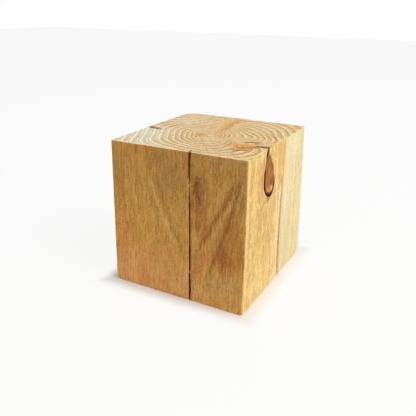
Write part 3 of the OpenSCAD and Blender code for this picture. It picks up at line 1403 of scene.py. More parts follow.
def laid(g: Graph, colour: Tint, marks: Marks, across: Wire, up: Wire) -> Tint:
    """Returns a colour with patches and stripes laid over it.

    Args:
        g: The graph.
        colour: The colour below them.
        marks: The patches and stripes, in the order in which they are laid.
        across: Place across the face.
        up: Place up the face.

    Returns:
        The colour.
    """
    at = Spot(g, across, up, g.place(across, up, 0.0))
    for mark in marks:
        colour = colour.toward(mark.colour, mark.mask(at))
    return colour


class Grain:
    """What the finish knows about the wood at a point, all as shader values.

    `x`, `y` and `z` are its place from the left, the front and the foot, `gx` and `gy`
    the same with the fibres upright, `part` its part of a ring, and `inside` how far
    below the sawn skin it lies. The rest are shares and noises. The named limits say
    where an end, the sapwood and the front and right faces start and are full.
    """

    END_TILT = (0.45, 0.8)
    SAP_RADIUS = (55.9, 56.7)
    SAP_PLACE = (46.0, 56.0)
    FRONT_SKIN = (0.8, 2.2)
    RIGHT_SKIN = (2.4, 0.9)

    def __init__(self, g: Graph, figure: Figure, middle: tuple[float, float]) -> None:
        """Works out the grain.

        Args:
            g: The graph.
            figure: How the growth rings lie.
            middle: Place in plan, in mm, that lies over the origin.
        """
        self.g = g
        block = figure.block
        x, y, z = g.split(g.wire("ShaderNodeTexCoord", {}, {}, "Object"))
        self.x = x = x * (1 / MM) + (middle[0] + block.width / 2)
        self.y = y = y * (1 / MM) + (middle[1] + block.depth / 2)
        self.z = z = z * (1 / MM)
        facing = g.split(g.wire("ShaderNodeNewGeometry", {}, {}, "Normal"))
        self.end = g.rise(*self.END_TILT, g.size(facing[2]))
        mark = {"attribute_type": "GEOMETRY", "attribute_name": "inside"}
        self.inside = g.wire("ShaderNodeAttribute", mark, {}, "Fac")
        self.gx, self.gy = figure.parted(x, y, z, g)
        self.cloud = self.strands(0.075, 0.022, 3.0, 0.55)
        self.drift = g.noise((x * 0.16, y * 0.16, z * 0.05), 2.0, 0.5)
        self.radius = figure.radius(x, y, z, g)
        loose = 1 - self.end * 0.65
        stray = (swing(self.drift, 2.2) + swing(self.cloud, 2.4)) * loose
        self.part = g.fraction(figure.rings(self.radius + stray, g))
        plain = g.root((x - block.pith[0]) ** 2.0 + (y - block.pith[1]) ** 2.0)
        edge = plain + (1 - g.rise(58.0, 86.0, z)) * 1.1 + swing(self.drift, 0.5)
        self.late = figure.late(self.part, g)
        self.sap = g.rise(*self.SAP_RADIUS, edge) * g.rise(*self.SAP_PLACE, y)
        self.fibre = self.strands(0.75, 0.075, 4.0, 0.64)
        self.hair = self.strands(2.0, 0.16, 3.0, 0.62)
        self.feather = self.strands(0.9, 0.03, 3.0, 0.7)
        self.mottle = self.strands(0.5, 0.2, 3.0, 0.65)
        self.front = 1 - g.rise(*self.FRONT_SKIN, y)
        deep, shallow = self.RIGHT_SKIN
        self.right = g.rise(block.width - deep, block.width - shallow, x)

    def strands(self, across: float, along: float, detail: float, rough: float) -> Wire:
        """Returns noise that is drawn out along the fibres.

        Args:
            across: Cells for each mm across the fibres.
            along: Cells for each mm along them.
            detail: Octaves.
            rough: Strength of the finer octaves.

        Returns:
            The noise.
        """
        place = (self.gx * across, self.gy * across, self.z * along)
        return self.g.noise(place, detail, rough)


@dataclass(frozen=True)
class FrontStains:
    """Stains of the front face, with places from its left edge and the foot.

    `marks` are the broad stains and the arms of the grain, `knot` the small knot and
    `check` the lips of the check with its loose fibres.
    """

    rust: Colour = ink(206, 128, 72)
    umber: Colour = ink(166, 112, 52)
    straw: Colour = ink(222, 176, 98)
    olive: Colour = ink(186, 146, 72)
    ash: Colour = ink(196, 156, 104)
    marks: Marks = (
        Patch(50, 6, 70, 34, ink(206, 154, 98), 0.45),
        Patch(14, 12, 24, 24, ink(222, 166, 102), 0.6),
        Patch(45, 10, 16, 16, ink(214, 160, 98), 0.4),
        Patch(86, 50, 14, 22, ink(172, 104, 46), 0.5),
        Patch(5, 86, 9, 22, olive, 0.6),
        Patch(24, 94, 9, 12, rust, 0.25),
        Patch(45, 84, 13, 22, ink(176, 130, 71), 0.75),
        Patch(42, 76, 8, 6, ash, 0.35),
        Patch(52, 60, 9, 22, ink(190, 146, 84), 0.4),
        Patch(84, 97, 13, 7, ash, 0.6),
        Patch(94.5, 82, 4.5, 14, ink(204, 160, 86), 0.55),
        Patch(95.5, 40, 5, 18, ink(166, 100, 48), 0.6),
        Patch(68, 55, 9.5, 17, ink(184, 110, 47), 0.8),
        Patch(65, 68, 9, 7, ink(156, 92, 42), 0.55),
        Patch(58, 8, 15, 9, ink(216, 164, 98), 0.5),
        Patch(60, 37, 8, 7, ink(208, 160, 92), 0.5),
        Patch(46, 48, 6, 8, ink(206, 160, 90), 0.5),
        Patch(36, 58, 5, 7, ink(164, 112, 54), 0.45),
        Patch(37, 95, 8, 8, ink(160, 114, 62), 0.5),
        Patch(6, 73, 6.5, 14, ink(172, 112, 50), 0.5),
        Patch(86, 34, 10, 13, ink(182, 110, 54), 0.8),
        Stripe((62, 16), (71, 31), (83, 46), 6, rust, 0.75, 8, 0.1),
        Patch(61.5, 21, 6, 8, rust, 0.45),
        Patch(14, 45, 10, 7, rust, 0.55),
        Patch(8, 26, 5.5, 26, rust, 0.6),
        Patch(24, 10, 8, 14, rust, 0.65),
        Patch(41, 8, 5, 12, rust, 0.4),
        Patch(84, 17, 12, 9, ink(198, 154, 98), 0.65),
        Patch(68, 8, 9, 8, ink(206, 158, 90), 0.4),
        Patch(31, 20, 6, 18, ink(204, 160, 86), 0.4),
        Stripe((50, 20), (34, 54), (24, 84), 2.6, umber, 0.4, 12),
        Stripe((57, 30), (44, 57), (35, 86), 2.8, umber, 0.55, 12),
        Stripe((53.5, 32), (39.5, 56), (29.5, 84), 2.2, straw, 0.8, 9),
        Stripe((42, 30), (28, 66), (20, 99), 1.9, straw, 0.55, 12),
        Stripe((23, 40), (17, 70), (12, 99), 1.6, straw, 0.4, 12),
        Stripe((64, 32), (76.1, 58), (92.5, 88), 2.3, ink(150, 96, 42), 0.75, 9),
        Stripe((72, 20), (84.1, 53), (93.8, 94), 2.6, ink(146, 90, 40), 0.75, 10),
        Patch(82.5, 35, 4.5, 11, ink(144, 80, 36), 0.7),
        Stripe((69, 30), (80.5, 58), (93, 86), 1.7, straw, 0.5, 9),
        Stripe((62, 40), (73, 64), (86, 90), 1.5, straw, 0.45, 9),
        Stripe((83.5, 22), (91.5, 52), (96, 88), 1.8, umber, 0.4, 12),
    )
    knot: Marks = (
        Patch(65.5, 77, 8.5, 15, ink(168, 110, 50), 0.75),
        Patch(64.4, 76, 5.4, 10.5, ink(150, 90, 40), 0.8),
        Patch(66, 70.5, 2.6, 3.4, ink(116, 66, 24), 0.75),
        Patch(62.4, 76.5, 1.8, 4, ink(128, 72, 28), 0.6),
        Patch(64.6, 83, 3.4, 4.8, ink(124, 72, 30), 0.8),
    )
    check: Marks = (
        Stripe((60.2, -6), (59.9, 40), (59.6, 76), 1.6, ink(132, 76, 34), 0.6, 8, 0.3),
        Stripe((59.2, 80), (59, 92), (59.5, 108), 1.6, ink(132, 76, 34), 0.6, 4, 0.3),
        Stripe((58.4, -6), (58, 40), (57.7, 74), 1.1, ink(228, 166, 98), 0.85, 8, 0.1),
        Stripe((57.2, 82), (57, 92), (57.6, 108), 1, ink(198, 142, 80), 0.6, 4, 0.2),
        Patch(58.1, 83, 0.9, 1.5, ink(232, 190, 116), 0.9),
        Patch(59, 80.3, 1.2, 2.2, ink(234, 186, 116), 0.95),
        Patch(58, 76.2, 0.8, 1.3, ink(232, 190, 116), 0.9),
        Patch(58.5, 73.4, 1, 1.2, ink(232, 190, 116), 0.85),
        Patch(57.9, 91, 0.7, 2, ink(222, 170, 100), 0.7),
        Patch(60.4, 46, 0.7, 2.2, ink(222, 170, 100), 0.6),
        Patch(58.2, 50, 0.6, 2.6, ink(222, 170, 100), 0.6),
    )

    def dress(self, w: Grain, colour: Tint) -> Tint:
        """Returns the colour of the front face.

        Args:
            w: The grain.
            colour: The colour below the stains.

        Returns:
            The colour.
        """
        x = w.x + swing(w.drift, 1.5) + swing(w.fibre, 2.4)
        z = w.z + swing(w.cloud, 6.0) + swing(w.feather, 26.0)
        colour = laid(w.g, colour, self.marks, x, z)
        mottle = w.mottle - 0.5
        z = w.z + swing(w.feather, 16.0) + mottle * 12.0
        colour = laid(w.g, colour, self.knot, w.x + mottle * 8.0, z)
        return laid(w.g, colour, self.check, w.x, w.z + mottle * 2.0)


@dataclass(frozen=True)
class RightStains:
    """Stains of the right face, with places from its front edge and the foot.

    `marks` are those of the heartwood, `sapwood` the streaks of the sapwood with a painted
    highlight along the back right arris, and `beside` what lies over and about the stub of the
    knot, with a painted highlight in the cleft below it. `bark` is the dark of the bark round the
    stub, which also serves as painted shade of the cleft. The stub reaches `stub_half` to either
    side of `stub_middle` and down to `keel`, where it is rounded over `stub_round`.
    """

    orange: Colour = ink(218, 152, 78)
    butter: Colour = ink(238, 212, 142)
    cream: Colour = ink(238, 220, 170)
    nut: Colour = ink(186, 124, 56)
    bark: Colour = ink(66, 18, 6)
    stub_middle: float = 35.5
    stub_half: float = 8.4
    keel: float = 68.7
    stub_round: float = 10.3
    marks: Marks = (
        Patch(20, 84, 8, 22, orange, 0.55),
        Patch(7, 92, 3, 14, orange, 0.6),
        Patch(22, 62, 7, 12, orange, 0.5),
        Patch(42, 60, 6, 12, ink(224, 174, 108), 0.5),
        Patch(47, 46, 7, 12, ink(216, 160, 92), 0.35),
        Patch(24, 82, 5, 13, ink(228, 160, 72), 0.6),
        Patch(14, 72, 6, 14, ink(226, 172, 84), 0.5),
        Patch(22, 98, 10, 5, ink(246, 216, 144), 0.6),
        Patch(52, 4, 22, 7, ink(246, 228, 182), 0.5),
        Patch(22, 46, 8, 9, orange, 0.5),
        Patch(20, 12, 30, 26, ink(242, 212, 142), 0.55),
        Patch(14, 24, 8, 10, orange, 0.3),
        Patch(54, 92, 9, 14, ink(222, 170, 84), 0.6),
        Patch(32, 10, 18, 16, butter, 0.6),
        Patch(46, 20, 11, 22, ink(242, 218, 158), 0.55),
        Patch(12, 62, 7, 32, butter, 0.35),
        Patch(50, 34, 5, 30, butter, 0.5),
        Stripe((3.6, -5), (3.4, 50), (3, 106), 1.3, butter, 0.75),
        Stripe((6.6, -5), (6, 50), (6.4, 106), 1.1, orange, 0.5),
        Stripe((33, -5), (32, 16), (29, 44), 1.6, orange, 0.7, 9),
        Stripe((42, -5), (42.5, 20), (41, 40), 1.2, orange, 0.5, 9),
        Stripe((17, 44), (25, 55), (38, 66), 2.2, nut, 0.4, 8),
        Stripe((12, 52), (17, 62), (22, 78), 1.8, nut, 0.3, 8),
        Stripe((52, 18), (51, 52), (48, 96), 2.4, cream, 0.85, 10),
        Stripe((24, 70), (23.2, 83), (26.4, 101), 2, ink(206, 128, 60), 0.8, 7),
        Stripe((13, 62), (12, 80), (13, 106), 1.6, butter, 0.6, 9),
        Stripe((62.4, -8), (61, 34), (62.6, 70), 1.4, ink(232, 192, 112), 0.5, 8),
        Stripe((56.8, -8), (54.4, 28), (57.6, 72), 2.3, ink(248, 234, 190), 0.85, 8),
        Stripe((60, 56), (60.6, 80), (61.4, 106), 1.4, ink(212, 164, 84), 0.5, 9),
        Stripe((61.4, -8), (58.9, 30), (61.4, 84), 1.5, ink(206, 142, 60), 0.85, 10),
        Stripe((61.2, -8), (58.8, 30), (60, 66), 1, ink(172, 106, 38), 0.8, 10),
    )
    sapwood: Marks = (
        Patch(94, 30, 12, 44, ink(238, 220, 154), 0.6),
        Patch(72, 60, 12, 34, ink(238, 222, 194), 0.75),
        Patch(80, 92, 20, 16, ink(240, 228, 198), 0.6),
        Stripe((66, -5), (66, 50), (66.5, 106), 1.2, cream, 0.7),
        Stripe((84, -5), (84.4, 50), (84, 106), 1.3, ink(246, 236, 186), 0.8),
        Stripe((86.8, -5), (86.8, 50), (87, 90), 1.2, ink(222, 200, 118), 0.6, 12),
        Stripe((76, -5), (75.5, 50), (76.5, 106), 1.6, ink(224, 204, 148), 0.5),
        # A painted highlight along the back right arris.
        Stripe((102.4, -5), (102.4, 50), (102.6, 106), 1.6, ink(248, 238, 200), 0.8),
    )
    beside: Marks = (
        Stripe((46.6, 68), (47.2, 80), (45.4, 96), 1.1, ink(240, 206, 124), 0.7, 6),
        Stripe((27.2, 86), (27, 91), (29.6, 98), 1, ink(252, 228, 140), 0.9, 3),
        # A painted highlight where the far wall of the cleft above the keel catches the light.
        Patch(39.8, 73, 1.9, 2.4, ink(206, 198, 164), 0.95),
        Patch(34.6, 67, 4.4, 2.4, ink(150, 90, 42), 0.9),
        Patch(17.6, 68.6, 2.2, 1.3, ink(250, 232, 170), 0.8),
        Patch(20.4, 66, 1.4, 2, ink(250, 230, 164), 0.7),
        Patch(17, 65.4, 1.6, 1.6, ink(206, 148, 80), 0.7),
        Patch(26.6, 50.6, 2.2, 1.4, ink(250, 230, 164), 0.75),
        Patch(28.4, 47.4, 1.4, 2.2, ink(248, 226, 156), 0.6),
        Stripe((22, 52.5), (25.4, 47), (32, 42.5), 1.6, ink(212, 154, 84), 0.7, 2),
        Stripe((24, 65), (31, 60), (33.5, 51), 1.5, ink(216, 158, 88), 0.6, 3),
        Stripe((12, 63), (16, 57), (23, 52.5), 1.5, ink(216, 160, 90), 0.6, 3),
        Stripe((44, 66), (37, 60.5), (34.5, 52), 1.3, ink(246, 220, 156), 0.5, 4),
        Patch(36.2, 98.6, 1.7, 5, ink(255, 236, 150), 1),
    )

    def dress(self, w: Grain, colour: Tint) -> Tint:
        """Returns the colour of the right face, but for the knot's stub.

        Args:
            w: The grain.
            colour: The colour below the stains.

        Returns:
            The colour.
        """
        y = w.y + swing(w.drift, 3.0) + swing(w.fibre, 2.6)
        z = w.z + swing(w.cloud, 8.0) + swing(w.feather, 12.0)
        colour = laid(w.g, colour, self.sapwood, y, z)
        return laid(w.g, colour, self.marks, w.y + swing(w.fibre, 2.0), z)

    def stub(self, w: Grain, colour: Tint) -> Tint:
        """Returns the colour with the knot's stub, its bark ring deepened by painted shade of the
        cleft, and what lies along it, a painted highlight in the cleft among them.

        Args:
            w: The grain.
            colour: The colour below them.

        Returns:
            The colour.
        """
        g = w.g
        low = g.least(w.z - (self.keel + self.stub_round), 0.0) * (1 / self.stub_round)
        high = g.largest(w.z - 80.0, 0.0) * (1 / 22.0)
        half = (1 - g.least(high * high, 0.86)) * self.stub_half
        middle = self.stub_middle - (w.z - 76.0) * 0.09 - low * 1.2
        u = (w.y - middle) / half
        rim = g.root(u * u + low * low)
        streak = g.noise((w.y * 1.0, 0.0, w.z * 0.09), 3.0, 0.65)
        wood = g.tint(ink(178, 104, 30)).toward(ink(116, 58, 14), g.rise(0.42, 0.58, streak) * 0.8)
        wood = wood.scaled(1 + swing(w.hair, 1.9))
        wood = wood.toward(ink(126, 64, 14), g.rise(82.0, 95.0, w.z) * 0.75)
        wood = wood.toward(ink(224, 147, 54), (1 - g.rise(71.0, 77.0, w.z)) * 0.75)
        wood = wood.toward(ink(108, 60, 28), g.rise(0.4, 0.9, -u) * 0.7)
        colour = colour.toward(wood, 1 - g.rise(0.86, 1.0, rim))
        # A ring of bark round the stub. On its left and low down it is also painted shade of the
        # cleft.
        left = g.rise(0.1, -0.2, u)
        sure = g.largest(left, g.rise(-0.2, -0.6, low))
        soft = (1 - g.rise(77.0, 81.0, w.z)) * 0.7
        ring = 1 - g.rise(0.5, 1.0, g.size(rim - 0.95) * (1 / 0.19) - left * 0.12)
        bark = g.tint(ink(130, 70, 26)).toward(self.bark, sure)
        colour = colour.toward(bark, ring * g.largest(sure, soft) * 0.97)
        return laid(g, colour, self.beside, w.y, w.z)


@dataclass(frozen=True)
class HeadStains:
    """Stains of the head: the pith, the side knot, the bleached corner and the streaks, and a
    painted highlight along its front edge.

    `broad` lie under the rings and `sharp` over them, with places from the left and the front.
    `lengthwise` run to the right, with places from the front and the left; the first of them is a
    painted highlight along the front edge.
    """

    broad: Marks = (
        Patch(14, 78, 20, 28, ink(242, 224, 194), 0.85),
        Patch(80, 82, 22, 20, ink(232, 208, 168), 0.6),
        Patch(36, 90, 12, 20, ink(228, 198, 138), 0.5),
        Patch(44.5, 43, 8.5, 11, ink(210, 164, 84), 0.75),
        Patch(57, 47.5, 9, 8, ink(206, 162, 78), 0.85),
        Patch(57, 35, 9, 6, ink(234, 218, 192), 0.7),
        Patch(66, 12, 20, 12, ink(222, 202, 162), 0.5),
        Patch(46, 10, 20, 14, ink(234, 214, 170), 0.55),
        Patch(76, 32, 10, 9, ink(214, 164, 92), 0.6),
        Patch(84, 60, 16, 16, ink(218, 178, 118), 0.4),
    )
    sharp: Marks = (
        Patch(43.5, 42.5, 3.4, 4, ink(170, 116, 50), 0.8),
        Patch(50, 44.5, 3.2, 3.4, ink(242, 224, 182), 0.7),
        Stripe((51.5, 44), (49, 78), (44, 112), 5.5, ink(216, 156, 82), 0.75, 26),
        Stripe((51.5, 44), (50.4, 76), (46.6, 112), 1.2, ink(184, 120, 54), 0.55, 20),
        Stripe((50, 66), (47.5, 84), (43.5, 112), 1, ink(190, 126, 58), 0.5, 16),
        Stripe((47.5, 60), (45.5, 84), (41, 112), 1.3, ink(226, 184, 96), 0.7, 20),
        Patch(38, 98, 7, 8, ink(226, 188, 96), 0.5),
        Patch(83, 30, 9, 14, ink(204, 142, 66), 0.75, 0.2),
        Patch(73, 33, 8, 6, ink(206, 154, 86), 0.5),
        Patch(27, 2.4, 7, 4, ink(222, 170, 96), 0.45),
        Patch(57, 5, 3, 5, ink(230, 196, 110), 0.6),
        Patch(97.4, 20, 2, 24, ink(238, 208, 132), 0.8),
        Patch(97.2, 60, 2, 20, ink(240, 206, 128), 0.8),
        Patch(57.6, 1, 1.6, 4.6, ink(148, 96, 46), 0.8),
    )
    lengthwise: Marks = (
        # A painted highlight along the head's front edge.
        Stripe((1, -5), (1.2, 40), (1, 110), 2.6, ink(240, 226, 190), 0.5),
        Stripe((45.4, -5), (43.6, 6.5), (41.4, 15), 2.6, ink(146, 110, 56), 0.95, 4),
        Stripe((45.6, -5), (44.2, 4), (42.8, 10), 1.2, ink(84, 56, 26), 0.9, 3),
        Stripe((34, 75), (40.5, 82), (40.8, 90), 3, ink(164, 102, 48), 0.75, 4, 0.2),
        Stripe((39.6, 81), (40.6, 84.5), (41, 88), 1.8, ink(116, 66, 28), 0.75, 2),
        Stripe((22, 76), (26, 84), (32, 94), 3.4, ink(172, 104, 42), 0.9, 4),
        Stripe((18, 76), (19.5, 83), (25, 90), 2.6, ink(152, 92, 38), 0.8, 3),
        Stripe((33, 73), (35.5, 80), (36.5, 87), 2.2, ink(236, 198, 124), 0.85, 4),
        Stripe((31.5, 86), (33.4, 92), (33.4, 104), 2.6, ink(128, 76, 34), 0.9, 3),
        Stripe((32.4, 90), (33.6, 95), (33.6, 104), 1.5, ink(66, 34, 16), 0.9, 3),
        Stripe((34.6, 84), (36.2, 88.4), (36.6, 93), 1.8, ink(232, 188, 120), 0.8, 3),
    )

    def dress(self, w: Grain, colour: Tint) -> Tint:
        """Returns the colour of the head with the stains that lie over its rings.

        Args:
            w: The grain.
            colour: The colour below them.

        Returns:
            The colour.
        """
        g = w.g
        streak = g.noise((w.x * 0.16, w.y * 0.5, 5.0), 3.0, 0.65)
        x = w.x + swing(w.drift, 2.0) + swing(streak, 10.0)
        y = w.y + swing(w.cloud, 3.0) + swing(streak, 6.0)
        colour = laid(g, colour, self.sharp, x, y)
        fray = (0.25 + g.fall(88.0, 95.0, w.x, 0.75)) * (0.25 + g.rise(10.0, 24.0, w.x) * 0.75)
        stray = swing(w.mottle, 10.0) * fray
        colour = laid(g, colour, self.lengthwise, w.y + stray, w.x + stray)
        arc = g.size(g.root((w.x - 74.0) ** 2.0 + (w.y - 47.5) ** 2.0) - 20.5)
        reach = g.within(50.0, 56.0, 60.0, 67.0, w.y) * g.rise(82.0, 85.0, w.x)
        return colour.toward(ink(160, 122, 76), (1 - g.rise(0.2, 1.2, arc)) * reach * 0.6)


@dataclass(frozen=True)
class TimberFinish:
    """Bare softwood, sawn and lightly oiled: rings, fibres, knots, patches and end grain.

    The `cleft` fields say where a wall is one of the cleft round the knot, in mm from the
    left, the front and the foot. Past `cleft_behind` its bark is paler.
    """

    figure: Figure
    middle: tuple[float, float]
    golden: Colour = ink(222, 186, 112)
    ochre: Colour = ink(209, 153, 72)
    amber: Colour = ink(216, 168, 96)
    pale: Colour = ink(230, 211, 158)
    tan: Colour = ink(225, 197, 144)
    cream: Colour = ink(250, 240, 214)
    bleached: Colour = ink(228, 220, 194)
    gloss: float = 0.15
    fibre_depth: float = 0.8
    cleft_right_of: tuple[float, float] = (84.0, 88.0)
    cleft_from: tuple[float, float] = (24.0, 26.0)
    cleft_to: tuple[float, float] = (46.0, 48.0)
    cleft_above: tuple[float, float] = (60.0, 64.0)
    cleft_behind: tuple[float, float] = (39.5, 42.0)
    front_stains: FrontStains = FrontStains()
    right_stains: RightStains = RightStains()
    head_stains: HeadStains = HeadStains()

    def make(self) -> bpy.types.Material:
        """Builds the material.

        Returns:
            The material.
        """
        made = bpy.data.materials.new("timber")
        made.use_nodes = True
        g = Graph(made.node_tree)
        w = Grain(g, self.figure, self.middle)
        side = self.side_colour(w)
        colour = side.toward(self.end_colour(w), w.end)
        sockets = {"Base Color": self.inside_colour(w, colour), "Roughness": self.roughness(w)}
        sockets |= {"Normal": self.bump(w), "Specular IOR Level": self.gloss}
        shader = g.wire("ShaderNodeBsdfPrincipled", {}, sockets)
        g.node("ShaderNodeOutputMaterial", {}, {"Surface": shader})
        return made

    def side_colour(self, w: Grain) -> Tint:
        """Returns the colour of the sawn sides, with a painted highlight along the front right
        arris.

        Args:
            w: The grain.

        Returns:
            The colour.
        """
        g = w.g
        colour = g.tint(self.golden).toward(self.amber, 1 - g.rise(1.0, 2.6, w.x))
        colour = colour.toward(self.ochre, w.front)
        colour = colour.toward(self.pale, w.sap * (1 - w.front))
        heart = 1 - w.sap * 0.8

        # Warm and cool clouds, late wood and the bands of the rings.
        warm = g.rise(0.52, 0.68, w.cloud)
        cool = g.rise(0.5, 0.34, w.cloud)
        colour = colour.toward(ink(214, 138, 72), warm * 0.28 * heart)
        colour = colour.toward(ink(184, 148, 76), cool * 0.3 * heart)
        broken = 0.35 + g.rise(0.3, 0.7, w.drift) * 0.65 - w.right * 0.3
        colour = colour.toward(ink(176, 116, 54), w.late * broken * 0.42 * heart)
        rear = w.late * w.sap * g.rise(100.0, 104.0, w.y)
        colour = colour.toward(ink(212, 180, 112), rear * 0.5)
        band = g.noise((w.radius * 1.15, w.gx * 0.04, w.gy * 0.04 + w.z * 0.006), 3.0, 0.6)
        colour = colour.scaled(1 + (band - 0.5) * (0.3 + w.front * 0.35) * heart)

        # Stains, and tints of the right face.
        colour = colour.toward(self.front_stains.dress(w, colour), w.front)
        colour = colour.toward(self.right_stains.dress(w, colour), w.right)
        curl = w.right * (1 - w.sap)
        colour = colour.toward(ink(242, 212, 122), g.rise(0.53, 0.64, w.hair) * w.sap * 0.4)
        colour = colour.toward(ink(240, 224, 208), g.rise(0.47, 0.36, w.hair) * w.sap * 0.4)
        colour = colour.toward(ink(250, 224, 150), g.rise(0.54, 0.68, w.mottle) * curl * 0.5)
        colour = colour.toward(ink(206, 132, 60), g.rise(0.44, 0.3, w.mottle) * curl * 0.5)
        # The front face grows lighter towards its foot and a little darker towards its right.
        height = 1.25 - w.z * 0.003 - g.rise(36.0, 62.0, w.x) * 0.1
        colour = colour.scaled(1 + (height - 1) * w.front)

        # Fine lines of the fibres, darker and lighter, and short dashes.
        grit = w.strands(1.5, 0.9, 2.0, 0.6)
        lines = swing(w.fibre, 0.7) + swing(w.hair, 1.2) + swing(grit, 1.05)
        lines = lines * (1 - w.sap * 0.4)
        colour = colour.scaled(1.01 - w.sap * 0.04 + lines * 0.6)
        shade = g.tint(ink(184, 108, 44)).toward(ink(128, 78, 34), w.front)
        colour = colour.toward(shade, g.largest(lines * -1.3, 0.0))
        shine = g.tint(ink(252, 232, 172)).toward(ink(214, 170, 100), w.front)
        colour = colour.toward(shine, g.largest(lines * 1.1, 0.0))
        dash = g.rise(0.56, 0.7, w.strands(1.1, 0.2, 2.0, 0.5))
        colour = colour.toward(ink(140, 88, 38), dash * (0.3 - w.sap * 0.2))

        # The stub lies over them, and a painted highlight runs along the front right arris.
        colour = colour.toward(self.right_stains.stub(w, colour), w.right)
        arris = g.fall(0.6, 2.2, self.figure.block.width - w.x) * g.rise(0.3, 0.9, w.y)
        arris = arris * g.fall(1.6, 3.4, w.y)
        return colour.toward(ink(240, 210, 132), arris * 0.75)

    def end_colour(self, w: Grain) -> Tint:
        """Returns the colour of the sawn ends, where the rings show.

        Args:
            w: The grain.

        Returns:
            The colour.
        """
        g = w.g
        x, y = w.x + swing(w.drift, 7.0), w.y + swing(w.cloud, 7.0)
        head = g.rise(40.0, 60.0, w.z)
        colour = g.tint(self.tan)
        colour = colour.toward(ink(208, 158, 98), g.rise(0.52, 0.68, w.cloud) * 0.55)
        colour = colour.toward(ink(236, 212, 160), g.rise(0.5, 0.36, w.drift) * 0.55)
        stained = laid(g, colour, self.head_stains.broad, x, y)
        old = (1 - g.rise(24.0, 50.0, x + y * 0.35)) * (1 - g.rise(38.0, 62.0, y))
        colour = colour.toward(stained.toward(self.bleached, old * 0.9), head)

        # A ring is brown in its early wood, then pale, and ends in a thin dark edge.
        brown = g.within(0.05, 0.4, 0.5, 0.66, w.part)
        near = g.fall(14.0, 40.0, w.y, 0.25)
        colour = colour.toward(ink(192, 148, 88), brown * (0.75 + near - old * head * 0.55))
        line = g.within(0.69, 0.77, 0.79, 0.87, w.part)
        broken = g.rise(0.3, 0.5, g.noise((w.x * 0.16, w.y * 0.16, 3.0), 3.0, 0.6))
        near_knot = g.rise(56.0, 66.0, w.x) * g.rise(12.0, 22.0, w.y) * g.fall(38.0, 52.0, w.y)
        faint = g.rise(52.0, 70.0, w.y) * 0.4 + near_knot * 0.6
        pale_line = g.tint(self.cream).toward(ink(246, 244, 236), old * head)
        colour = colour.toward(pale_line, line * (0.35 + broken * 0.65) * (1 - faint * 0.8))
        edge = g.within(0.9, 0.96, 0.97, 1.0, w.part)
        colour = colour.toward(ink(176, 122, 68), edge * 0.65)
        colour = colour.toward(self.head_stains.dress(w, colour), head)

        # Rays from the pith, and grit.
        pith = self.figure.block.pith
        turn = g.angle(w.y - pith[1], w.x - pith[0])
        rays = g.noise((g.cosine(turn) * 26.0, g.sine(turn) * 26.0, w.radius * 0.05), 3.0, 0.6)
        grit = g.noise((w.x * 1.4, w.y * 1.4, w.z), 3.0, 0.65)
        fresh = 1 - old * head
        colour = colour.toward(ink(206, 148, 80), g.rise(0.53, 0.66, w.mottle) * fresh * 0.4)
        colour = colour.toward(ink(240, 228, 198), g.rise(0.47, 0.34, w.mottle) * 0.4)
        colour = colour.toward(ink(184, 120, 62), g.rise(0.55, 0.7, grit) * fresh * 0.4)
        return colour.scaled(1.16 + swing(rays, 0.6) + swing(grit, 1.4))

    def inside_colour(self, w: Grain, colour: Tint) -> Tint:
        """Returns the colour with the walls of the checks and the bark in the cleft, with painted
        shade that darkens them deeper in.

        Args:
            w: The grain.
            colour: The colour of the skin.

        Returns:
            The colour.
        """
        g = w.g
        deep = g.rise(0.02, 0.45, w.inside)
        knot = g.rise(*self.cleft_right_of, w.x) * g.rise(*self.cleft_from, w.y)
        knot = knot * (1 - g.rise(*self.cleft_to, w.y)) * g.rise(*self.cleft_above, w.z)
        behind = g.rise(*self.cleft_behind, w.y) * 0.75
        # The bark lining the cleft round the knot is dark partly as bark and partly as painted
        # shade.
        bark = g.tint(self.right_stains.bark).toward(ink(150, 92, 46), behind)
        wall = g.tint(ink(140, 78, 32)).toward(bark, knot * 0.95)
        # Painted shade: the walls grow darker the deeper they lie.
        wall = wall.toward(ink(66, 32, 18), g.rise(1.2, 6.0, w.inside) * 0.85)
        return colour.toward(wall, deep)

    def roughness(self, w: Grain) -> Wire:
        """Returns how rough the wood is.

        Args:
            w: The grain.

        Returns:
            The roughness.
        """
        side = 0.58 + swing(w.fibre, 0.3) - w.late * 0.06
        end = 0.78 - w.late * 0.08
        return side + (end - side) * w.end + w.g.rise(0.1, 1.0, w.inside) * 0.1

    def bump(self, w: Grain) -> Wire:
        """Returns the shading normal: open fibres on the sides and fine fuzz on the ends.

        Args:
            w: The grain.

        Returns:
            The normal.
        """
        side = w.fibre * 0.12 + w.hair * 0.07
        end = w.g.noise((w.x * 2.1, w.y * 2.1, w.z * 2.1), 3.0, 0.6) * 0.16
        height = side + (end - side) * w.end
        sockets = {"Strength": self.fibre_depth, "Distance": MM, "Height": height}
        return w.g.wire("ShaderNodeBump", {}, sockets)


@dataclass(frozen=True)
class FloorFinish:
    """Pale floor that shows white about the block and keeps its shadow.

    `half` is half the block's footprint and `near` how far from it the shadow stays
    whole, in metres. Farther out, the share `kept_shadow` of it stays.
    """

    half: tuple[float, float] = (0.0497, 0.0534)
    near: float = 0.012
    colour: Colour = ink(247, 246, 243)
    kept_shadow: float = 0.12

    def make(self) -> bpy.types.Material:
        """Builds the material.

        Returns:
            The material.
        """
        made = bpy.data.materials.new("floor")
        made.use_nodes = True
        g = Graph(made.node_tree)
        x, y, _ = g.split(g.wire("ShaderNodeTexCoord", {}, {}, "Object"))
        out = g.largest(g.size(x) - self.half[0], g.size(y) - self.half[1])
        close = 1 - g.rise(0.0, self.near, out)
        kept = self.kept_shadow + close * (1.0 - self.kept_shadow)
        matt = g.wire("ShaderNodeBsdfDiffuse", {}, {"Color": self.colour})
        white = g.wire("ShaderNodeEmission", {}, {"Color": (1.0, 1.0, 1.0), "Strength": 1.0})
        shares = {0: g.seen_ray() * (1 - kept), 1: matt, 2: white}
        both = g.wire("ShaderNodeMixShader", {}, shares)
        g.node("ShaderNodeOutputMaterial", {}, {"Surface": both})
        return made


# --- Studio -------------------------------------------------------------------


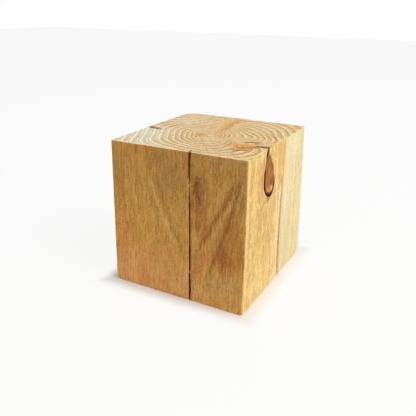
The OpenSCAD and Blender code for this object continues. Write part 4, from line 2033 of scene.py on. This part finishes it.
@dataclass
class Studio:
    """Floor, soft light from the right, plain surroundings and the camera.

    The floor and the lamp are in metres. `eye` is the camera's place in mm, from the
    middle of the sawn block, and `right` and `down` its directions. `sharpness` is its
    focal length and `axis_rise` how far its axis lies off the middle of the frame, both
    in steps of which the frame is `frame_width` wide.
    """

    floor_half: float = 3.0
    surround: float = 0.52
    key_power: float = 11.3
    key_size: float = 0.9
    key_from: Triple = (1.05, -0.12, 0.95)
    key_aim: Triple = (0.0, 0.0, 0.05)
    sharpness: float = 513.24
    frame_width: float = 416.0
    sensor: float = 36.0
    nearest: float = 0.01
    axis_rise: float = 18.0
    eye: Triple = (156.502, -307.955, 183.291)
    right: Triple = (0.88445, 0.46648, 0.01207)
    down: Triple = (0.16832, -0.29481, -0.94061)

    def floor(self) -> bpy.types.Object:
        """Lays the floor, a plain sheet that the block stands on.

        Returns:
            The floor.
        """
        r = self.floor_half
        mesh = bpy.data.meshes.new("floor")
        mesh.from_pydata([(-r, -r, 0), (r, -r, 0), (r, r, 0), (-r, r, 0)], [], [(0, 1, 2, 3)])
        made = linked("floor", mesh)
        made.data.materials.append(FloorFinish().make())
        return made

    def light(self) -> None:
        """Hangs the lamp and lights the surroundings."""
        lamp = bpy.data.lights.new("key", "AREA")
        lamp.shape, lamp.size, lamp.energy = "DISK", self.key_size, self.key_power
        made = linked("key", lamp)
        made.location = self.key_from
        aim = Vector(self.key_aim) - made.location
        made.rotation_euler = aim.to_track_quat("-Z", "Y").to_euler()
        world = bpy.data.worlds.new("surround")
        bpy.context.scene.world = world
        world.use_nodes = True
        g = Graph(world.node_tree)
        strength = g.seen_ray() * (1 - self.surround) + self.surround
        sockets = {"Color": (1.0, 1.0, 1.0), "Strength": strength}
        plain = g.wire("ShaderNodeBackground", {}, sockets)
        g.node("ShaderNodeOutputWorld", {}, {"Surface": plain})

    def camera(self, middle: np.ndarray) -> bpy.types.Object:
        """Returns the camera.

        Args:
            middle: Middle of the block's box in plan, in mm.

        Returns:
            The camera object, made the scene's own.
        """
        data = bpy.data.cameras.new("camera")
        data.sensor_fit = "HORIZONTAL"
        data.sensor_width = self.sensor
        data.lens = self.sharpness / self.frame_width * self.sensor
        data.shift_y = -self.axis_rise / self.frame_width
        data.clip_start = self.nearest
        right, up = Vector(self.right).normalized(), -Vector(self.down).normalized()
        back = right.cross(up).normalized()
        turn = Matrix((right, back.cross(right), back)).transposed().to_4x4()
        place = Vector(self.eye) - Vector((middle[0], middle[1], 0.0))
        made = linked("camera", data)
        made.matrix_world = Matrix.Translation(place * MM) @ turn
        bpy.context.scene.camera = made
        return made


def main() -> None:
    """Builds the scene in order and reports each piece."""
    logging.basicConfig(level=logging.INFO, format="%(name)s: %(message)s")
    bpy.context.scene.view_settings.view_transform = "Standard"
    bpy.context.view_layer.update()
    timber = Timber()
    middle = timber.middle
    studio = Studio()
    studio.camera(middle)
    studio.light()
    studio.floor()
    log.info("studio stands, middle of the block at %.3f, %.3f mm", *middle)
    piece = timber.build()
    finish = TimberFinish(timber.figure, tuple(middle.tolist()))
    piece.data.materials.clear()
    piece.data.materials.append(finish.make())
    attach(piece, BODY)
    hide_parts(NODE)
    triangles = sum(len(p.vertices) - 2 for p in piece.data.polygons)
    log.info("timber: %d points, %d triangles", len(piece.data.vertices), triangles)


if __name__ == "__main__":
    main()
